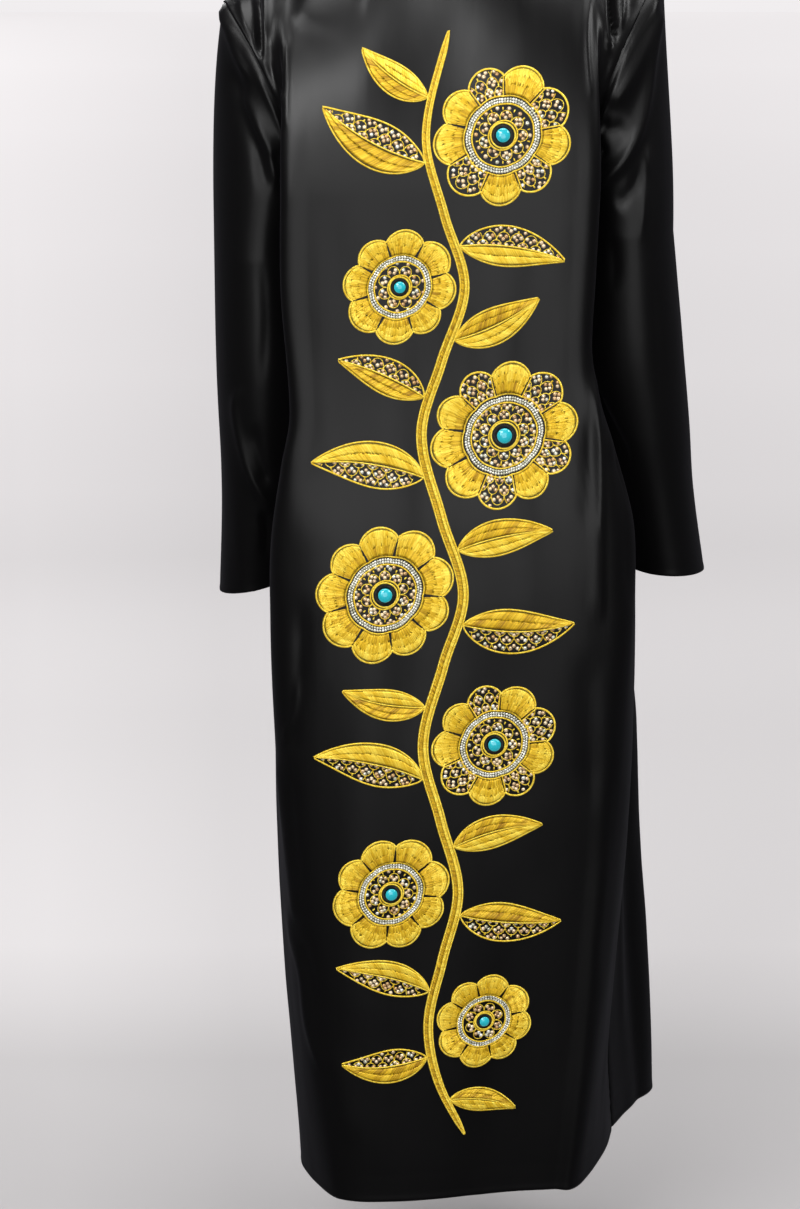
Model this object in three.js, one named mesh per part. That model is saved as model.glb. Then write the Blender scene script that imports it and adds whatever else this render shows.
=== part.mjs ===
// A long collarless duster coat in black satin, hollow and hanging as it is worn, with its front open.
// The back, two fronts and two sleeves are walls of cloth that meet at their seams, and a spray of
// embroidered flowers lies on the back.
// Millimetres, +Z up. The origin is the middle of the neck, level with the tops of the shoulder seams.
// The front faces -Y, and the wearer's left side is +X.
import * as THREE from "three";

// Driving sizes
const clothThickness = 1.2;
const seamGap = 0.3;
const coatLength = 1282; // from the neck end of the shoulder seam to the hem
const armpitDrop = 241; // from the same point to the foot of the armhole
const neckHalfWidth = 84;
const neckBackY = 74;
const neckBackDrop = 20;
const shoulderTip = new THREE.Vector3(218, -2, -40); // of the left side; the right one mirrors it
const shoulderNeck = new THREE.Vector3(neckHalfWidth, 8, -3);
const armholeFootX = 143;
const armholeHalfDepth = 78;
const shoulderTilt = 0.083; // the left shoulder hangs lower by this slope, which fades out at the hem

// How finely the walls are divided
const skirtRows = 28;
const yokeRows = 10;
const sleeveRows = 17;
const backStations = [0, 0.09, 0.17, 0.25, 0.34, 0.44, 0.52, 0.58, 0.64, 0.69, 0.74, 0.78, 0.82, 0.86, 0.91, 0.955, 1];
const frontStations = [0, 0.075, 0.15, 0.225, 0.3, 0.38, 0.45, 0.52, 0.58, 0.64, 0.7, 0.85, 1];

const hemZ = -coatLength;
const armpitZ = -armpitDrop;

// Where the back's named lines stand below the armpits: how far out its sides and corners are on each
// hand, and how far behind the neck each line hangs
const backWidths = table("z leftSide leftCorner rightCorner rightSide", [
  [-241, 142, 159, 153, 139],
  [-330, 141, 160, 149, 139],
  [-420, 143, 153, 147, 142],
  [-460, 146, 152, 157, 148],
  [-500, 151, 160, 170, 159],
  [-580, 161, 171, 190, 186],
  [-664, 170, 171, 191, 196],
  [-760, 174, 168, 186, 200],
  [-900, 172, 161, 179, 198],
  [-1060, 164, 151, 166, 188],
  [-1170, 156, 141, 156, 181],
  [-1282, 149, 129, 144, 179],
]);
const backDepths = table(
  "z leftSide leftCorner leftTurn leftMiddle middle rightMiddle rightTurn rightCorner rightSide",
  [
    [-241, 58, 103, 118, 121, 120, 118, 115, 97, 56],
    [-330, 56, 101, 116, 119, 118, 116, 113, 95, 54],
    [-420, 54, 100, 116, 119, 117, 115, 112, 94, 52],
    [-500, 52, 103, 121, 124, 121, 118, 114, 96, 48],
    [-580, 50, 108, 128, 132, 129, 124, 117, 98, 44],
    [-760, 46, 108, 131, 137, 133, 125, 117, 98, 36],
    [-1060, 42, 102, 131, 138, 132, 119, 110, 98, 22],
    [-1282, 39, 96, 131, 138, 130, 115, 106, 98, 9],
  ],
);

// The side seams, on which back and fronts meet
const sideSeams = table("z leftX leftY rightX rightY", [
  [-241, 143, 0, 143, 0],
  [-330, 137, 0, 138, 0],
  [-420, 137, 0, 139, 0],
  [-500, 141, 0, 150, 0],
  [-600, 149, 0, 177, 0],
  [-664, 156, 0, 187, -4],
  [-760, 165, 0, 193, -14],
  [-900, 166, -2, 193, -26],
  [-1060, 159, -4, 187, -38],
  [-1170, 153, -5, 184, -47],
  [-1282, 149, -6, 192, -57],
]);

// The fronts below the armpits: the side, the forward corner and the free edge
const leftFrontSections = table("z sideX sideY cornerX cornerY edgeX edgeY", [
  [-241, 136, -58, 120, -102, 80, -118],
  [-420, 135, -58, 122, -100, 84, -121],
  [-600, 147, -60, 136, -108, 86, -128],
  [-800, 163, -66, 151, -126, 88, -141],
  [-1000, 161, -80, 153, -146, 90, -160],
  [-1282, 153, -84, 148, -168, 94, -192],
]);
const rightFrontSections = table("z sideX sideY cornerX cornerY edgeX edgeY", [
  [-241, 136, -58, 120, -102, 80, -118],
  [-420, 136, -58, 123, -100, 84, -121],
  [-600, 175, -54, 152, -108, 88, -130],
  [-700, 186, -48, 194, -104, 94, -140],
  [-813, 195, -62, 215, -122, 100, -153],
  [-996, 202, -88, 230, -147, 110, -180],
  [-1110, 208, -104, 240, -166, 118, -198],
  [-1282, 220, -118, 251, -184, 130, -222],
]);

// The sleeves below the armholes: the middle and the half sizes of each section, and how much higher
// its inner side hangs than its outer side
const leftSleeveSections = table("z middleX middleY halfWidth halfDepth rise", [
  [-300, 186, -2, 45, 74, 0],
  [-420, 186, -8, 45, 70, 0],
  [-540, 188, -24, 41, 63, 2],
  [-650, 195, -45, 39, 57, 14],
]);
const rightSleeveSections = table("z middleX middleY halfWidth halfDepth rise", [
  [-300, 188, -2, 46, 74, 0],
  [-420, 196, -8, 52, 70, 0],
  [-500, 210, -16, 47, 65, 0],
  [-564, 223, -25, 40, 61, 2],
  [-650, 238, -35, 39, 57, 5],
]);

// Tables of named columns by height, read as smooth curves

function table(names, rows) {
  return { names: names.trim().split(/\s+/), rows };
}

function slopeAt(rows, i, column) {
  const before = rows[Math.max(i - 1, 0)];
  const after = rows[Math.min(i + 1, rows.length - 1)];
  return (after[column] - before[column]) / (after[0] - before[0]);
}

// A smooth curve through rows of [key, value, ...], held flat beyond its ends
function smoothThrough(rows, column, key) {
  const falling = rows[0][0] > rows[rows.length - 1][0];
  const last = rows.length - 1;
  if (falling ? key >= rows[0][0] : key <= rows[0][0]) return rows[0][column];
  if (falling ? key <= rows[last][0] : key >= rows[last][0]) return rows[last][column];
  let i = 0;
  while (falling ? key < rows[i + 1][0] : key > rows[i + 1][0]) i++;
  const span = rows[i + 1][0] - rows[i][0];
  const t = (key - rows[i][0]) / span;
  return blendCurve(
    rows[i][column],
    rows[i + 1][column],
    slopeAt(rows, i, column) * span,
    slopeAt(rows, i + 1, column) * span,
    t,
  );
}

function valueAt(named, name, z) {
  return smoothThrough(named.rows, named.names.indexOf(name), z);
}

// A cubic from a to b that leaves with one slope and arrives with the other
function blendCurve(a, b, leaving, arriving, t) {
  const t2 = t * t;
  const t3 = t2 * t;
  return (
    a * (2 * t3 - 3 * t2 + 1) +
    b * (3 * t2 - 2 * t3) +
    leaving * (t3 - 2 * t2 + t) +
    arriving * (t3 - t2)
  );
}

function blendPoints(a, b, leaving, arriving, t) {
  return new THREE.Vector3(
    blendCurve(a.x, b.x, leaving.x, arriving.x, t),
    blendCurve(a.y, b.y, leaving.y, arriving.y, t),
    blendCurve(a.z, b.z, leaving.z, arriving.z, t),
  );
}

function smoothStep(low, high, value) {
  return THREE.MathUtils.smoothstep(value, low, high);
}

// The shear that lowers the left shoulder
function tilted(point) {
  point.z -= shoulderTilt * point.x * (1 + point.z / coatLength);
  return point;
}

// The armhole, from its foot (angle 0) over the back to the shoulder tip (half a turn) and down the front
function armhole(side, angle) {
  const height = (1 - Math.cos(angle)) / 2;
  return new THREE.Vector3(
    side * (armholeFootX + (shoulderTip.x - armholeFootX) * height ** 1.75),
    shoulderTip.y * height + armholeHalfDepth * Math.sin(angle),
    armpitZ + (shoulderTip.z - armpitZ) * height,
  );
}

function armholeCentre(side) {
  return new THREE.Vector3(side * 170, 0, (armpitZ + shoulderTip.z) / 2);
}

// The back. Across is -1 at the right side seam, 0 in the middle and 1 at the left side seam.

const neckStation = 0.34; // the end of the neckline
const cornerStation = 0.74;
const leftFoldShare = 0.516; // where each corner's fold meets the shoulder seam, as a share of the seam
const rightFoldShare = 0.434;
const yokeMiddleY = 100; // how far the yoke stands behind the neck half way up
const yokeCornerY = 90;
const armpitRise = new THREE.Vector3(0, 6, 210);
const topRise = 60;

function backSection(z, across) {
  const width = (name) => valueAt(backWidths, name, z);
  const depth = (name) => valueAt(backDepths, name, z);
  const seam = (name) => valueAt(sideSeams, name, z);
  const lines = [
    [-1, -seam("rightX"), seam("rightY")],
    [-0.86, -width("rightSide"), depth("rightSide")],
    [-cornerStation, -width("rightCorner"), depth("rightCorner")],
    [-0.58, -width("rightCorner") * 0.82, depth("rightTurn")],
    [-0.3, -width("rightCorner") * 0.42, depth("rightMiddle")],
    [0, 0, depth("middle")],
    [0.3, width("leftCorner") * 0.42, depth("leftMiddle")],
    [0.58, width("leftCorner") * 0.82, depth("leftTurn")],
    [cornerStation, width("leftCorner"), depth("leftCorner")],
    [0.86, width("leftSide"), depth("leftSide")],
    [1, seam("leftX"), seam("leftY")],
  ];
  return new THREE.Vector3(smoothThrough(lines, 1, across), smoothThrough(lines, 2, across), z);
}

function shoulderLine(side, share) {
  const point = shoulderNeck.clone().lerp(shoulderTip, share);
  point.x *= side;
  return point;
}

function backShoulderShare(side, station) {
  const foldShare = side > 0 ? leftFoldShare : rightFoldShare;
  if (station > cornerStation) {
    return foldShare + ((1 - foldShare) * (station - cornerStation)) / (1 - cornerStation);
  }
  return (foldShare * (station - neckStation)) / (cornerStation - neckStation);
}

function backTopEdge(across) {
  const side = Math.sign(across) || 1;
  const station = Math.abs(across);
  if (station >= neckStation) return shoulderLine(side, backShoulderShare(side, station));
  const angle = (station / neckStation) * (Math.PI / 2);
  return new THREE.Vector3(
    side * neckHalfWidth * Math.sin(angle),
    shoulderNeck.y + (neckBackY - shoulderNeck.y) * Math.cos(angle),
    shoulderNeck.z - (neckBackDrop + shoulderNeck.z) * Math.cos(angle) ** 2,
  );
}

// A line of the yoke from the armpit level to the top edge that stands at middleY half way up
function yokeLine(foot, top, middleY, height) {
  const arriving = new THREE.Vector3(0, armpitRise.y + 4 * (foot.y + top.y) - 8 * middleY, topRise);
  return blendPoints(foot, top, armpitRise, arriving, height);
}

function backYoke(across, height) {
  const side = Math.sign(across) || 1;
  const station = Math.abs(across);
  const corner = side * cornerStation;
  if (station <= cornerStation) {
    const middleY = yokeMiddleY + (yokeCornerY - yokeMiddleY) * (station / cornerStation) ** 3;
    return yokeLine(backSection(armpitZ, across), backTopEdge(across), middleY, height);
  }
  const share = (station - cornerStation) / (1 - cornerStation);
  const fold = yokeLine(backSection(armpitZ, corner), backTopEdge(corner), yokeCornerY, height);
  const tuck = tuckFrom(
    backSection(armpitZ, across),
    backSection(armpitZ, corner),
    backSection(armpitZ, side),
    share,
  );
  return fold.lerp(armhole(side, Math.PI * height), share).addScaledVector(tuck, (1 - height) ** 1.5);
}

// How far a section's point lies off the straight line between two others
function tuckFrom(point, from, to, share) {
  return point.sub(from.lerp(to, share));
}

// Height is -1 at the hem, 0 at the armpit and 1 at the top edge.
function backPoint(across, height) {
  if (height > 0) return tilted(backYoke(across, height));
  return tilted(backSection(armpitZ - height * (hemZ - armpitZ), across));
}

// The fronts. Across is 0 at the side seam and 1 at the free edge.

const frontCorner = 0.58;

function frontSection(side, z, across) {
  const sections = side > 0 ? leftFrontSections : rightFrontSections;
  const front = (name) => valueAt(sections, name, z);
  const seamX = valueAt(sideSeams, side > 0 ? "leftX" : "rightX", z);
  const seamY = valueAt(sideSeams, side > 0 ? "leftY" : "rightY", z);
  const cornerX = front("cornerX");
  const cornerY = front("cornerY");
  const edgeX = front("edgeX");
  const edgeY = front("edgeY");
  const points = [
    [0, seamX, seamY],
    [0.3, front("sideX"), front("sideY")],
    [frontCorner, cornerX, cornerY],
    [0.68, cornerX * 0.82 + edgeX * 0.18, cornerY * 0.68 + edgeY * 0.32 - 4],
    [1, edgeX, edgeY],
  ];
  return new THREE.Vector3(side * smoothThrough(points, 1, across), smoothThrough(points, 2, across), z);
}

const chestMiddleY = -74;

function frontYoke(side, across, height) {
  const rise = (share) =>
    yokeLine(
      frontSection(side, armpitZ, share),
      shoulderLine(side, 1 - share),
      chestMiddleY + 10 * (1 - share),
      height,
    );
  if (across >= frontCorner) return rise(across);
  const share = 1 - across / frontCorner;
  const tuck = tuckFrom(
    frontSection(side, armpitZ, across),
    frontSection(side, armpitZ, frontCorner),
    frontSection(side, armpitZ, 0),
    share,
  );
  return rise(frontCorner)
    .lerp(armhole(side, -Math.PI * height), share)
    .addScaledVector(tuck, (1 - height) ** 1.5);
}

function frontPoint(side, across, height) {
  if (height > 0) return tilted(frontYoke(side, across, height));
  return tilted(frontSection(side, armpitZ - height * (hemZ - armpitZ), across));
}

// The sleeves. Around is an angle like the armhole's, and along is 0 at the armhole and 1 at the cuff.

const sleeveCapShare = 0.2; // the share of the sleeve's rows that bends from the armhole to the first section

const leftCapFlare = 0.17; // how far outwards each cap leaves the shoulder tip
const rightCapFlare = 0.04;

function sleeveSection(side, z, angle) {
  const size = (name) => valueAt(side > 0 ? leftSleeveSections : rightSleeveSections, name, z);
  return new THREE.Vector3(
    side * (size("middleX") - size("halfWidth") * Math.cos(angle)),
    size("middleY") + size("halfDepth") * Math.sin(angle),
    z + (size("rise") / 2) * Math.cos(angle),
  );
}

function sleevePoint(side, angle, along) {
  const rows = (side > 0 ? leftSleeveSections : rightSleeveSections).rows;
  const firstZ = rows[0][0];
  const cuffZ = rows[rows.length - 1][0];
  if (along >= sleeveCapShare) {
    const share = (along - sleeveCapShare) / (1 - sleeveCapShare);
    return tilted(sleeveSection(side, firstZ + (cuffZ - firstZ) * share, angle));
  }
  const top = armhole(side, angle);
  top.x += side * seamGap;
  const end = sleeveSection(side, firstZ, angle);
  const drop = top.distanceTo(end);
  const flare = side > 0 ? leftCapFlare : -rightCapFlare;
  const outward = (flare * (1 - Math.cos(angle))) / 2;
  const leaving = new THREE.Vector3(outward, 0, -0.9).multiplyScalar(drop);
  const arriving = new THREE.Vector3(0, 0, -0.9 * drop);
  return tilted(blendPoints(top, end, leaving, arriving, along / sleeveCapShare));
}

// Walls of cloth

function normalAt(grid, i, j, closed) {
  const rows = grid.length;
  const columns = grid[0].length;
  const right = closed ? (j + 1) % columns : Math.min(j + 1, columns - 1);
  const left = closed ? (j + columns - 1) % columns : Math.max(j - 1, 0);
  const acrossWay = grid[i][right].clone().sub(grid[i][left]);
  const downWay = grid[Math.min(i + 1, rows - 1)][j].clone().sub(grid[Math.max(i - 1, 0)][j]);
  return acrossWay.cross(downWay).normalize();
}

// The inner side of a wall. seamWay gives the wall's direction on a seam, or nothing elsewhere.
function innerGrid(outer, closed, seamWay) {
  return outer.map((row, i) =>
    row.map((point, j) => {
      const way = seamWay(i, j) || normalAt(outer, i, j, closed).negate();
      return point.clone().addScaledVector(way, clothThickness);
    }),
  );
}

// One closed geometry from the outer and inner grids. Closed grids join their last column to their first.
function wallGeometry(outer, inner, closed) {
  const rows = outer.length;
  const columns = outer[0].length;
  const positions = [...outer.flat(), ...inner.flat()].flatMap((p) => [p.x, p.y, p.z]);
  const faces = [];
  const at = (layer, i, j) => layer * rows * columns + i * columns + (j % columns);
  const quad = (a, b, c, d) => faces.push(a, b, c, a, c, d);
  const lastColumn = closed ? columns : columns - 1;
  for (let i = 0; i < rows - 1; i++) {
    for (let j = 0; j < lastColumn; j++) {
      quad(at(0, i, j), at(0, i, j + 1), at(0, i + 1, j + 1), at(0, i + 1, j));
      quad(at(1, i, j), at(1, i + 1, j), at(1, i + 1, j + 1), at(1, i, j + 1));
    }
  }
  for (let j = 0; j < lastColumn; j++) {
    quad(at(1, 0, j), at(1, 0, j + 1), at(0, 0, j + 1), at(0, 0, j));
    quad(at(0, rows - 1, j), at(0, rows - 1, j + 1), at(1, rows - 1, j + 1), at(1, rows - 1, j));
  }
  if (!closed) {
    for (let i = 0; i < rows - 1; i++) {
      quad(at(1, i, 0), at(0, i, 0), at(0, i + 1, 0), at(1, i + 1, 0));
      quad(at(0, i, columns - 1), at(1, i, columns - 1), at(1, i + 1, columns - 1), at(0, i + 1, columns - 1));
    }
  }
  const geometry = new THREE.BufferGeometry();
  geometry.setAttribute("position", new THREE.Float32BufferAttribute(positions, 3));
  geometry.setIndex(faces);
  geometry.computeVertexNormals();
  return geometry;
}

// Moves a grid's edge row or column back from its seam by half the gap
function easeFromSeam(edge, next) {
  edge.forEach((point, k) => {
    const back = next[k].clone().sub(point).normalize();
    point.addScaledVector(back, seamGap / 2);
  });
}

// Heights of the rows, from the top edge down to the hem
const rowHeights = [
  ...Array.from({ length: yokeRows }, (_, i) => 1 - i / yokeRows),
  ...Array.from({ length: skirtRows + 1 }, (_, i) => -i / skirtRows),
];

const columnOf = (grid, j) => grid.map((row) => row[j]);

// The direction of the wall's thickness on the seams of a body panel: down at the shoulder seam, to the
// middle of the armhole round it, and level towards the middle of the coat at the side seam
function panelSeamWay(grid, seamColumn, side, onShoulder) {
  return (i, j) => {
    if (i === 0 && onShoulder(j)) return new THREE.Vector3(0, 0, -1);
    if (j !== seamColumn) return null;
    if (i >= yokeRows) return i === yokeRows ? armholeWay(side, grid[i][j]) : new THREE.Vector3(-side, 0, 0);
    return armholeWay(side, grid[i][j]);
  };
}

function armholeWay(side, point) {
  const centre = tilted(armholeCentre(side));
  return centre.sub(point).setX(0).normalize();
}

function backWall() {
  const stations = [...backStations.map((station) => -station).reverse(), ...backStations.slice(1)];
  const last = stations.length - 1;
  const grid = rowHeights.map((height) => stations.map((station) => backPoint(station, height)));
  easeFromSeam(grid[0], grid[1]);
  easeFromSeam(columnOf(grid, 0), columnOf(grid, 1));
  easeFromSeam(columnOf(grid, last), columnOf(grid, last - 1));
  const onShoulder = (j) => Math.abs(stations[j]) >= neckStation;
  const right = panelSeamWay(grid, 0, -1, onShoulder);
  const left = panelSeamWay(grid, last, 1, onShoulder);
  const inner = innerGrid(grid, false, (i, j) => left(i, j) || right(i, j));
  return wallGeometry(grid, inner, false);
}

function frontWall(side) {
  const stations = side > 0 ? frontStations : [...frontStations].reverse();
  const seamColumn = stations.indexOf(0);
  const grid = rowHeights.map((height) => stations.map((station) => frontPoint(side, station, height)));
  easeFromSeam(grid[0], grid[1]);
  easeFromSeam(columnOf(grid, seamColumn), columnOf(grid, seamColumn + side));
  const inner = innerGrid(grid, false, panelSeamWay(grid, seamColumn, side, () => true));
  return wallGeometry(grid, inner, false);
}

function sleeveWall(side) {
  const around = 2 * yokeRows;
  const grid = Array.from({ length: sleeveRows + 1 }, (_, i) =>
    Array.from({ length: around }, (_, j) =>
      sleevePoint(side, (side * j * 2 * Math.PI) / around, i / sleeveRows),
    ),
  );
  const inner = innerGrid(grid, true, (i, j) => (i === 0 ? armholeWay(side, grid[i][j]) : null));
  return wallGeometry(grid, inner, true);
}

// The embroidery: a flowering vine that climbs the back. Its solids are made from the back's points.

const embroideryLift = 0.8; // between the cloth and the embroidery
const embroideryThickness = 1;
const embroideryRise = 1.2; // how much thicker the middle of a motif is
const stemGap = 1; // between the vine and what grows from it

// The vine's middle line and its half width
const vine = table("z x halfWidth", [
  [-88, -4, 2.6],
  [-186, 18, 3.4],
  [-262, 0, 4],
  [-332, -20, 4.4],
  [-405, 2, 4.6],
  [-478, 22, 4.8],
  [-560, 2, 5],
  [-636, -20, 5],
  [-710, 0, 5],
  [-792, 20, 5],
  [-870, 2, 5],
  [-946, -16, 5],
  [-1020, 0, 4.8],
  [-1088, 14, 4.6],
  [-1150, 4, 4],
  [-1212, -24, 2.6],
]);
const vineStations = 46;

// The blossoms, each beside the vine at its height
const blossoms = rowsOf("z side radius petals turn", [
  [-186, -1, 70, 9, 0.2],
  [-332, 1, 58, 8, 0.5],
  [-478, -1, 76, 10, 0.1],
  [-636, 1, 72, 9, 0.4],
  [-792, -1, 66, 9, 0.3],
  [-946, 1, 62, 8, 0.1],
  [-1088, -1, 52, 8, 0.6],
]);

// The leaves: where each leaves the vine, its angle from upright towards its side, and its bend
const leaves = rowsOf("z side angle length halfWidth bend", [
  [-150, 1, 52, 78, 14, -0.5],
  [-212, 1, 60, 112, 22, -0.5],
  [-292, -1, 100, 104, 19, 0.5],
  [-384, -1, 62, 92, 17, -0.4],
  [-440, 1, 68, 92, 17, 0.4],
  [-520, 1, 84, 112, 22, 0.5],
  [-592, -1, 80, 96, 17, 0.4],
  [-668, -1, 88, 112, 22, -0.5],
  [-752, 1, 76, 84, 15, -0.4],
  [-826, 1, 80, 112, 21, 0.5],
  [-898, -1, 78, 92, 16, 0.4],
  [-972, -1, 94, 104, 20, -0.4],
  [-1052, 1, 76, 98, 17, 0.4],
  [-1124, 1, 92, 88, 17, -0.5],
  [-1172, -1, 104, 70, 12, 0.5],
]);

function rowsOf(names, rows) {
  const columns = names.split(" ");
  return rows.map((row) => Object.fromEntries(columns.map((name, k) => [name, row[k]])));
}

// The point over the back's cloth at (x, z), moved out by lift
function overBack(back, x, z, lift) {
  const farBehind = 400;
  const ray = new THREE.Raycaster(new THREE.Vector3(x, farBehind, z), new THREE.Vector3(0, -1, 0));
  const hit = ray.intersectObject(back)[0];
  return hit.point.clone().addScaledVector(hit.face.normal, lift);
}

// A closed solid over the back from rows of flat points [x, z, rise], each row as long as the next
function embroideredWall(back, rows, closed) {
  const layer = (lift) =>
    rows.map((row) =>
      row.map(([x, z, rise]) => overBack(back, x, z, embroideryLift + lift * (1 + rise * embroideryRise))),
    );
  return wallGeometry(layer(embroideryThickness), layer(0), closed);
}

function vineRows() {
  const first = vine.rows[0][0];
  const last = vine.rows[vine.rows.length - 1][0];
  const middle = (z) => new THREE.Vector2(valueAt(vine, "x", z), z);
  return Array.from({ length: vineStations + 1 }, (_, i) => {
    const z = first + ((last - first) * i) / vineStations;
    const point = middle(z);
    const way = middle(z - 1).sub(middle(z + 1)).normalize();
    const half = valueAt(vine, "halfWidth", z);
    return [-1, 0, 1].map((k) => [point.x - way.y * half * k, point.y + way.x * half * k, k === 0 ? 1 : 0]);
  });
}

function besideVine(z, side, distance) {
  return valueAt(vine, "x", z) + side * (valueAt(vine, "halfWidth", z) + stemGap + distance);
}

const petalDepth = 0.17; // of the notches between petals, as a share of the radius
const petalSegments = 3;
const blossomRings = [0.03, 0.42, 0.74, 1]; // shares of the radius
const blossomOval = 0.05; // how far a blossom is from round

function blossomRows({ z, side, radius, petals, turn }) {
  const centre = besideVine(z, side, radius);
  const segments = petals * petalSegments;
  return blossomRings.map((share) =>
    Array.from({ length: segments }, (_, k) => {
      const angle = (2 * Math.PI * k) / segments + turn;
      const notch = petalDepth * share ** 3 * (1 - Math.abs(Math.sin((petals * (angle - turn)) / 2)) ** 0.7);
      const reach = radius * share * (1 - notch) * (1 - blossomOval * (1 + Math.sin(2 * angle)));
      return [centre + reach * Math.cos(angle), z + reach * Math.sin(angle), (1 - share) * 1.2];
    }),
  );
}

const leafStations = 8;

function leafRows({ z, side, angle, length, halfWidth, bend }) {
  const base = besideVine(z, side, 0);
  const heading = THREE.MathUtils.degToRad(angle);
  const along = (share) => {
    const turned = heading + bend * (share - 0.5);
    return [side * Math.sin(turned), Math.cos(turned)];
  };
  let [x, y] = [base, z];
  const rows = [];
  for (let i = 0; i <= leafStations; i++) {
    const share = i / leafStations;
    const [wayX, wayZ] = along(share);
    const half = 0.5 + halfWidth * Math.sin(Math.PI * share ** 0.8) ** 0.9;
    rows.push([-1, 0, 1].map((k) => [x - wayZ * half * k, y + wayX * half * k, k === 0 ? 0.8 : 0]));
    x += (wayX * length) / leafStations;
    y += (wayZ * length) / leafStations;
  }
  return rows;
}

const satin = () => new THREE.MeshStandardMaterial({ color: 0x0b0b0d, roughness: 0.38, metalness: 0 });
const goldThread = () => new THREE.MeshStandardMaterial({ color: 0xd9ab2f, roughness: 0.42, metalness: 0.7 });

function named(name, geometry, material) {
  const mesh = new THREE.Mesh(geometry, material);
  mesh.name = name;
  return mesh;
}

const back = named("back", backWall(), satin());
const coat = new THREE.Group();
coat.add(back);
coat.add(named("front_left", frontWall(1), satin()));
coat.add(named("front_right", frontWall(-1), satin()));
coat.add(named("sleeve_left", sleeveWall(1), satin()));
coat.add(named("sleeve_right", sleeveWall(-1), satin()));
coat.add(named("embroidered_vine", embroideredWall(back, vineRows(), false), goldThread()));
blossoms.forEach((blossom, k) => {
  const wall = embroideredWall(back, blossomRows(blossom), true);
  coat.add(named(`embroidered_blossom_${k + 1}`, wall, goldThread()));
});
leaves.forEach((leaf, k) => {
  coat.add(named(`embroidered_leaf_${k + 1}`, embroideredWall(back, leafRows(leaf), false), goldThread()));
});

export default coat;
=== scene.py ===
import bpy, bmesh, math
import numpy as np
from mathutils import Matrix, Vector, noise
from mathutils.bvhtree import BVHTree


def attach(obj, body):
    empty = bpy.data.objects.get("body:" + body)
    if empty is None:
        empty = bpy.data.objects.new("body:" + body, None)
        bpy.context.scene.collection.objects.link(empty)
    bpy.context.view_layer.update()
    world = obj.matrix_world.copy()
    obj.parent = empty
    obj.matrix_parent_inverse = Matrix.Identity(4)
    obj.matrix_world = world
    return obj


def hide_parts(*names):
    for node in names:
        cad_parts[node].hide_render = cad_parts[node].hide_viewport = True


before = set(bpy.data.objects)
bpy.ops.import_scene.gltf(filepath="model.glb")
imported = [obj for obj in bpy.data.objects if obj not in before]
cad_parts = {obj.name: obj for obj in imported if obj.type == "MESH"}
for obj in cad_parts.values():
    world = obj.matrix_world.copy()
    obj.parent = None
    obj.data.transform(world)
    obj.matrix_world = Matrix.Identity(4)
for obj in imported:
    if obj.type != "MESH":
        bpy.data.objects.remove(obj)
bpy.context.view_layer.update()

mm = 0.001
scene = bpy.context.scene


# camera

frameSize = (800, 1209)
lensSettings = {"place": (0.043, 2.82, -0.060), "downTilt": 12.3, "focalLength": 82.3, "sensorWidth": 36,
                "farthest": 1000}


def makeCamera(spec):
    data = bpy.data.cameras.new("camera")
    data.lens = spec["focalLength"]
    data.sensor_fit = "AUTO"
    data.sensor_width = spec["sensorWidth"]
    data.clip_end = spec["farthest"]
    camera = bpy.data.objects.new("camera", data)
    camera.location = spec["place"]
    camera.rotation_euler = (math.radians(90 - spec["downTilt"]), 0, math.pi)
    scene.collection.objects.link(camera)
    scene.camera = camera
    print("camera placed")


makeCamera(lensSettings)


# tables of named columns by height, in millimetres, read as smooth curves

def table(names, rows):
    return dict(zip(names.split(), np.array(rows, float).T))


def listOf(names, rows):
    return [dict(zip(names.split(), row)) for row in rows]


def smoothCurve(keys, values, at):
    keys, values = np.asarray(keys, float), np.asarray(values, float)
    if keys[0] > keys[-1]:
        keys, values = keys[::-1], values[::-1]
    rise = np.gradient(values) / np.gradient(keys)
    rise[1:-1] = (values[2:] - values[:-2]) / (keys[2:] - keys[:-2])
    at = np.clip(at, keys[0], keys[-1])
    i = np.clip(np.searchsorted(keys, at, side="right") - 1, 0, len(keys) - 2)
    span = keys[i + 1] - keys[i]
    return blendCurve(values[i], values[i + 1], rise[i] * span, rise[i + 1] * span, (at - keys[i]) / span)


def blendCurve(a, b, leaving, arriving, t):
    return (a * (2 * t**3 - 3 * t**2 + 1) + b * (3 * t**2 - 2 * t**3)
            + leaving * (t**3 - 2 * t**2 + t) + arriving * (t**3 - t**2))


def valueAt(named, name, z):
    return float(smoothCurve(named["z"], named[name], z))


def smoothStep(low, high, value):
    t = np.clip((value - low) / (high - low), 0, 1)
    return t * t * (3 - 2 * t)


# how the coat hangs

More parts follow.
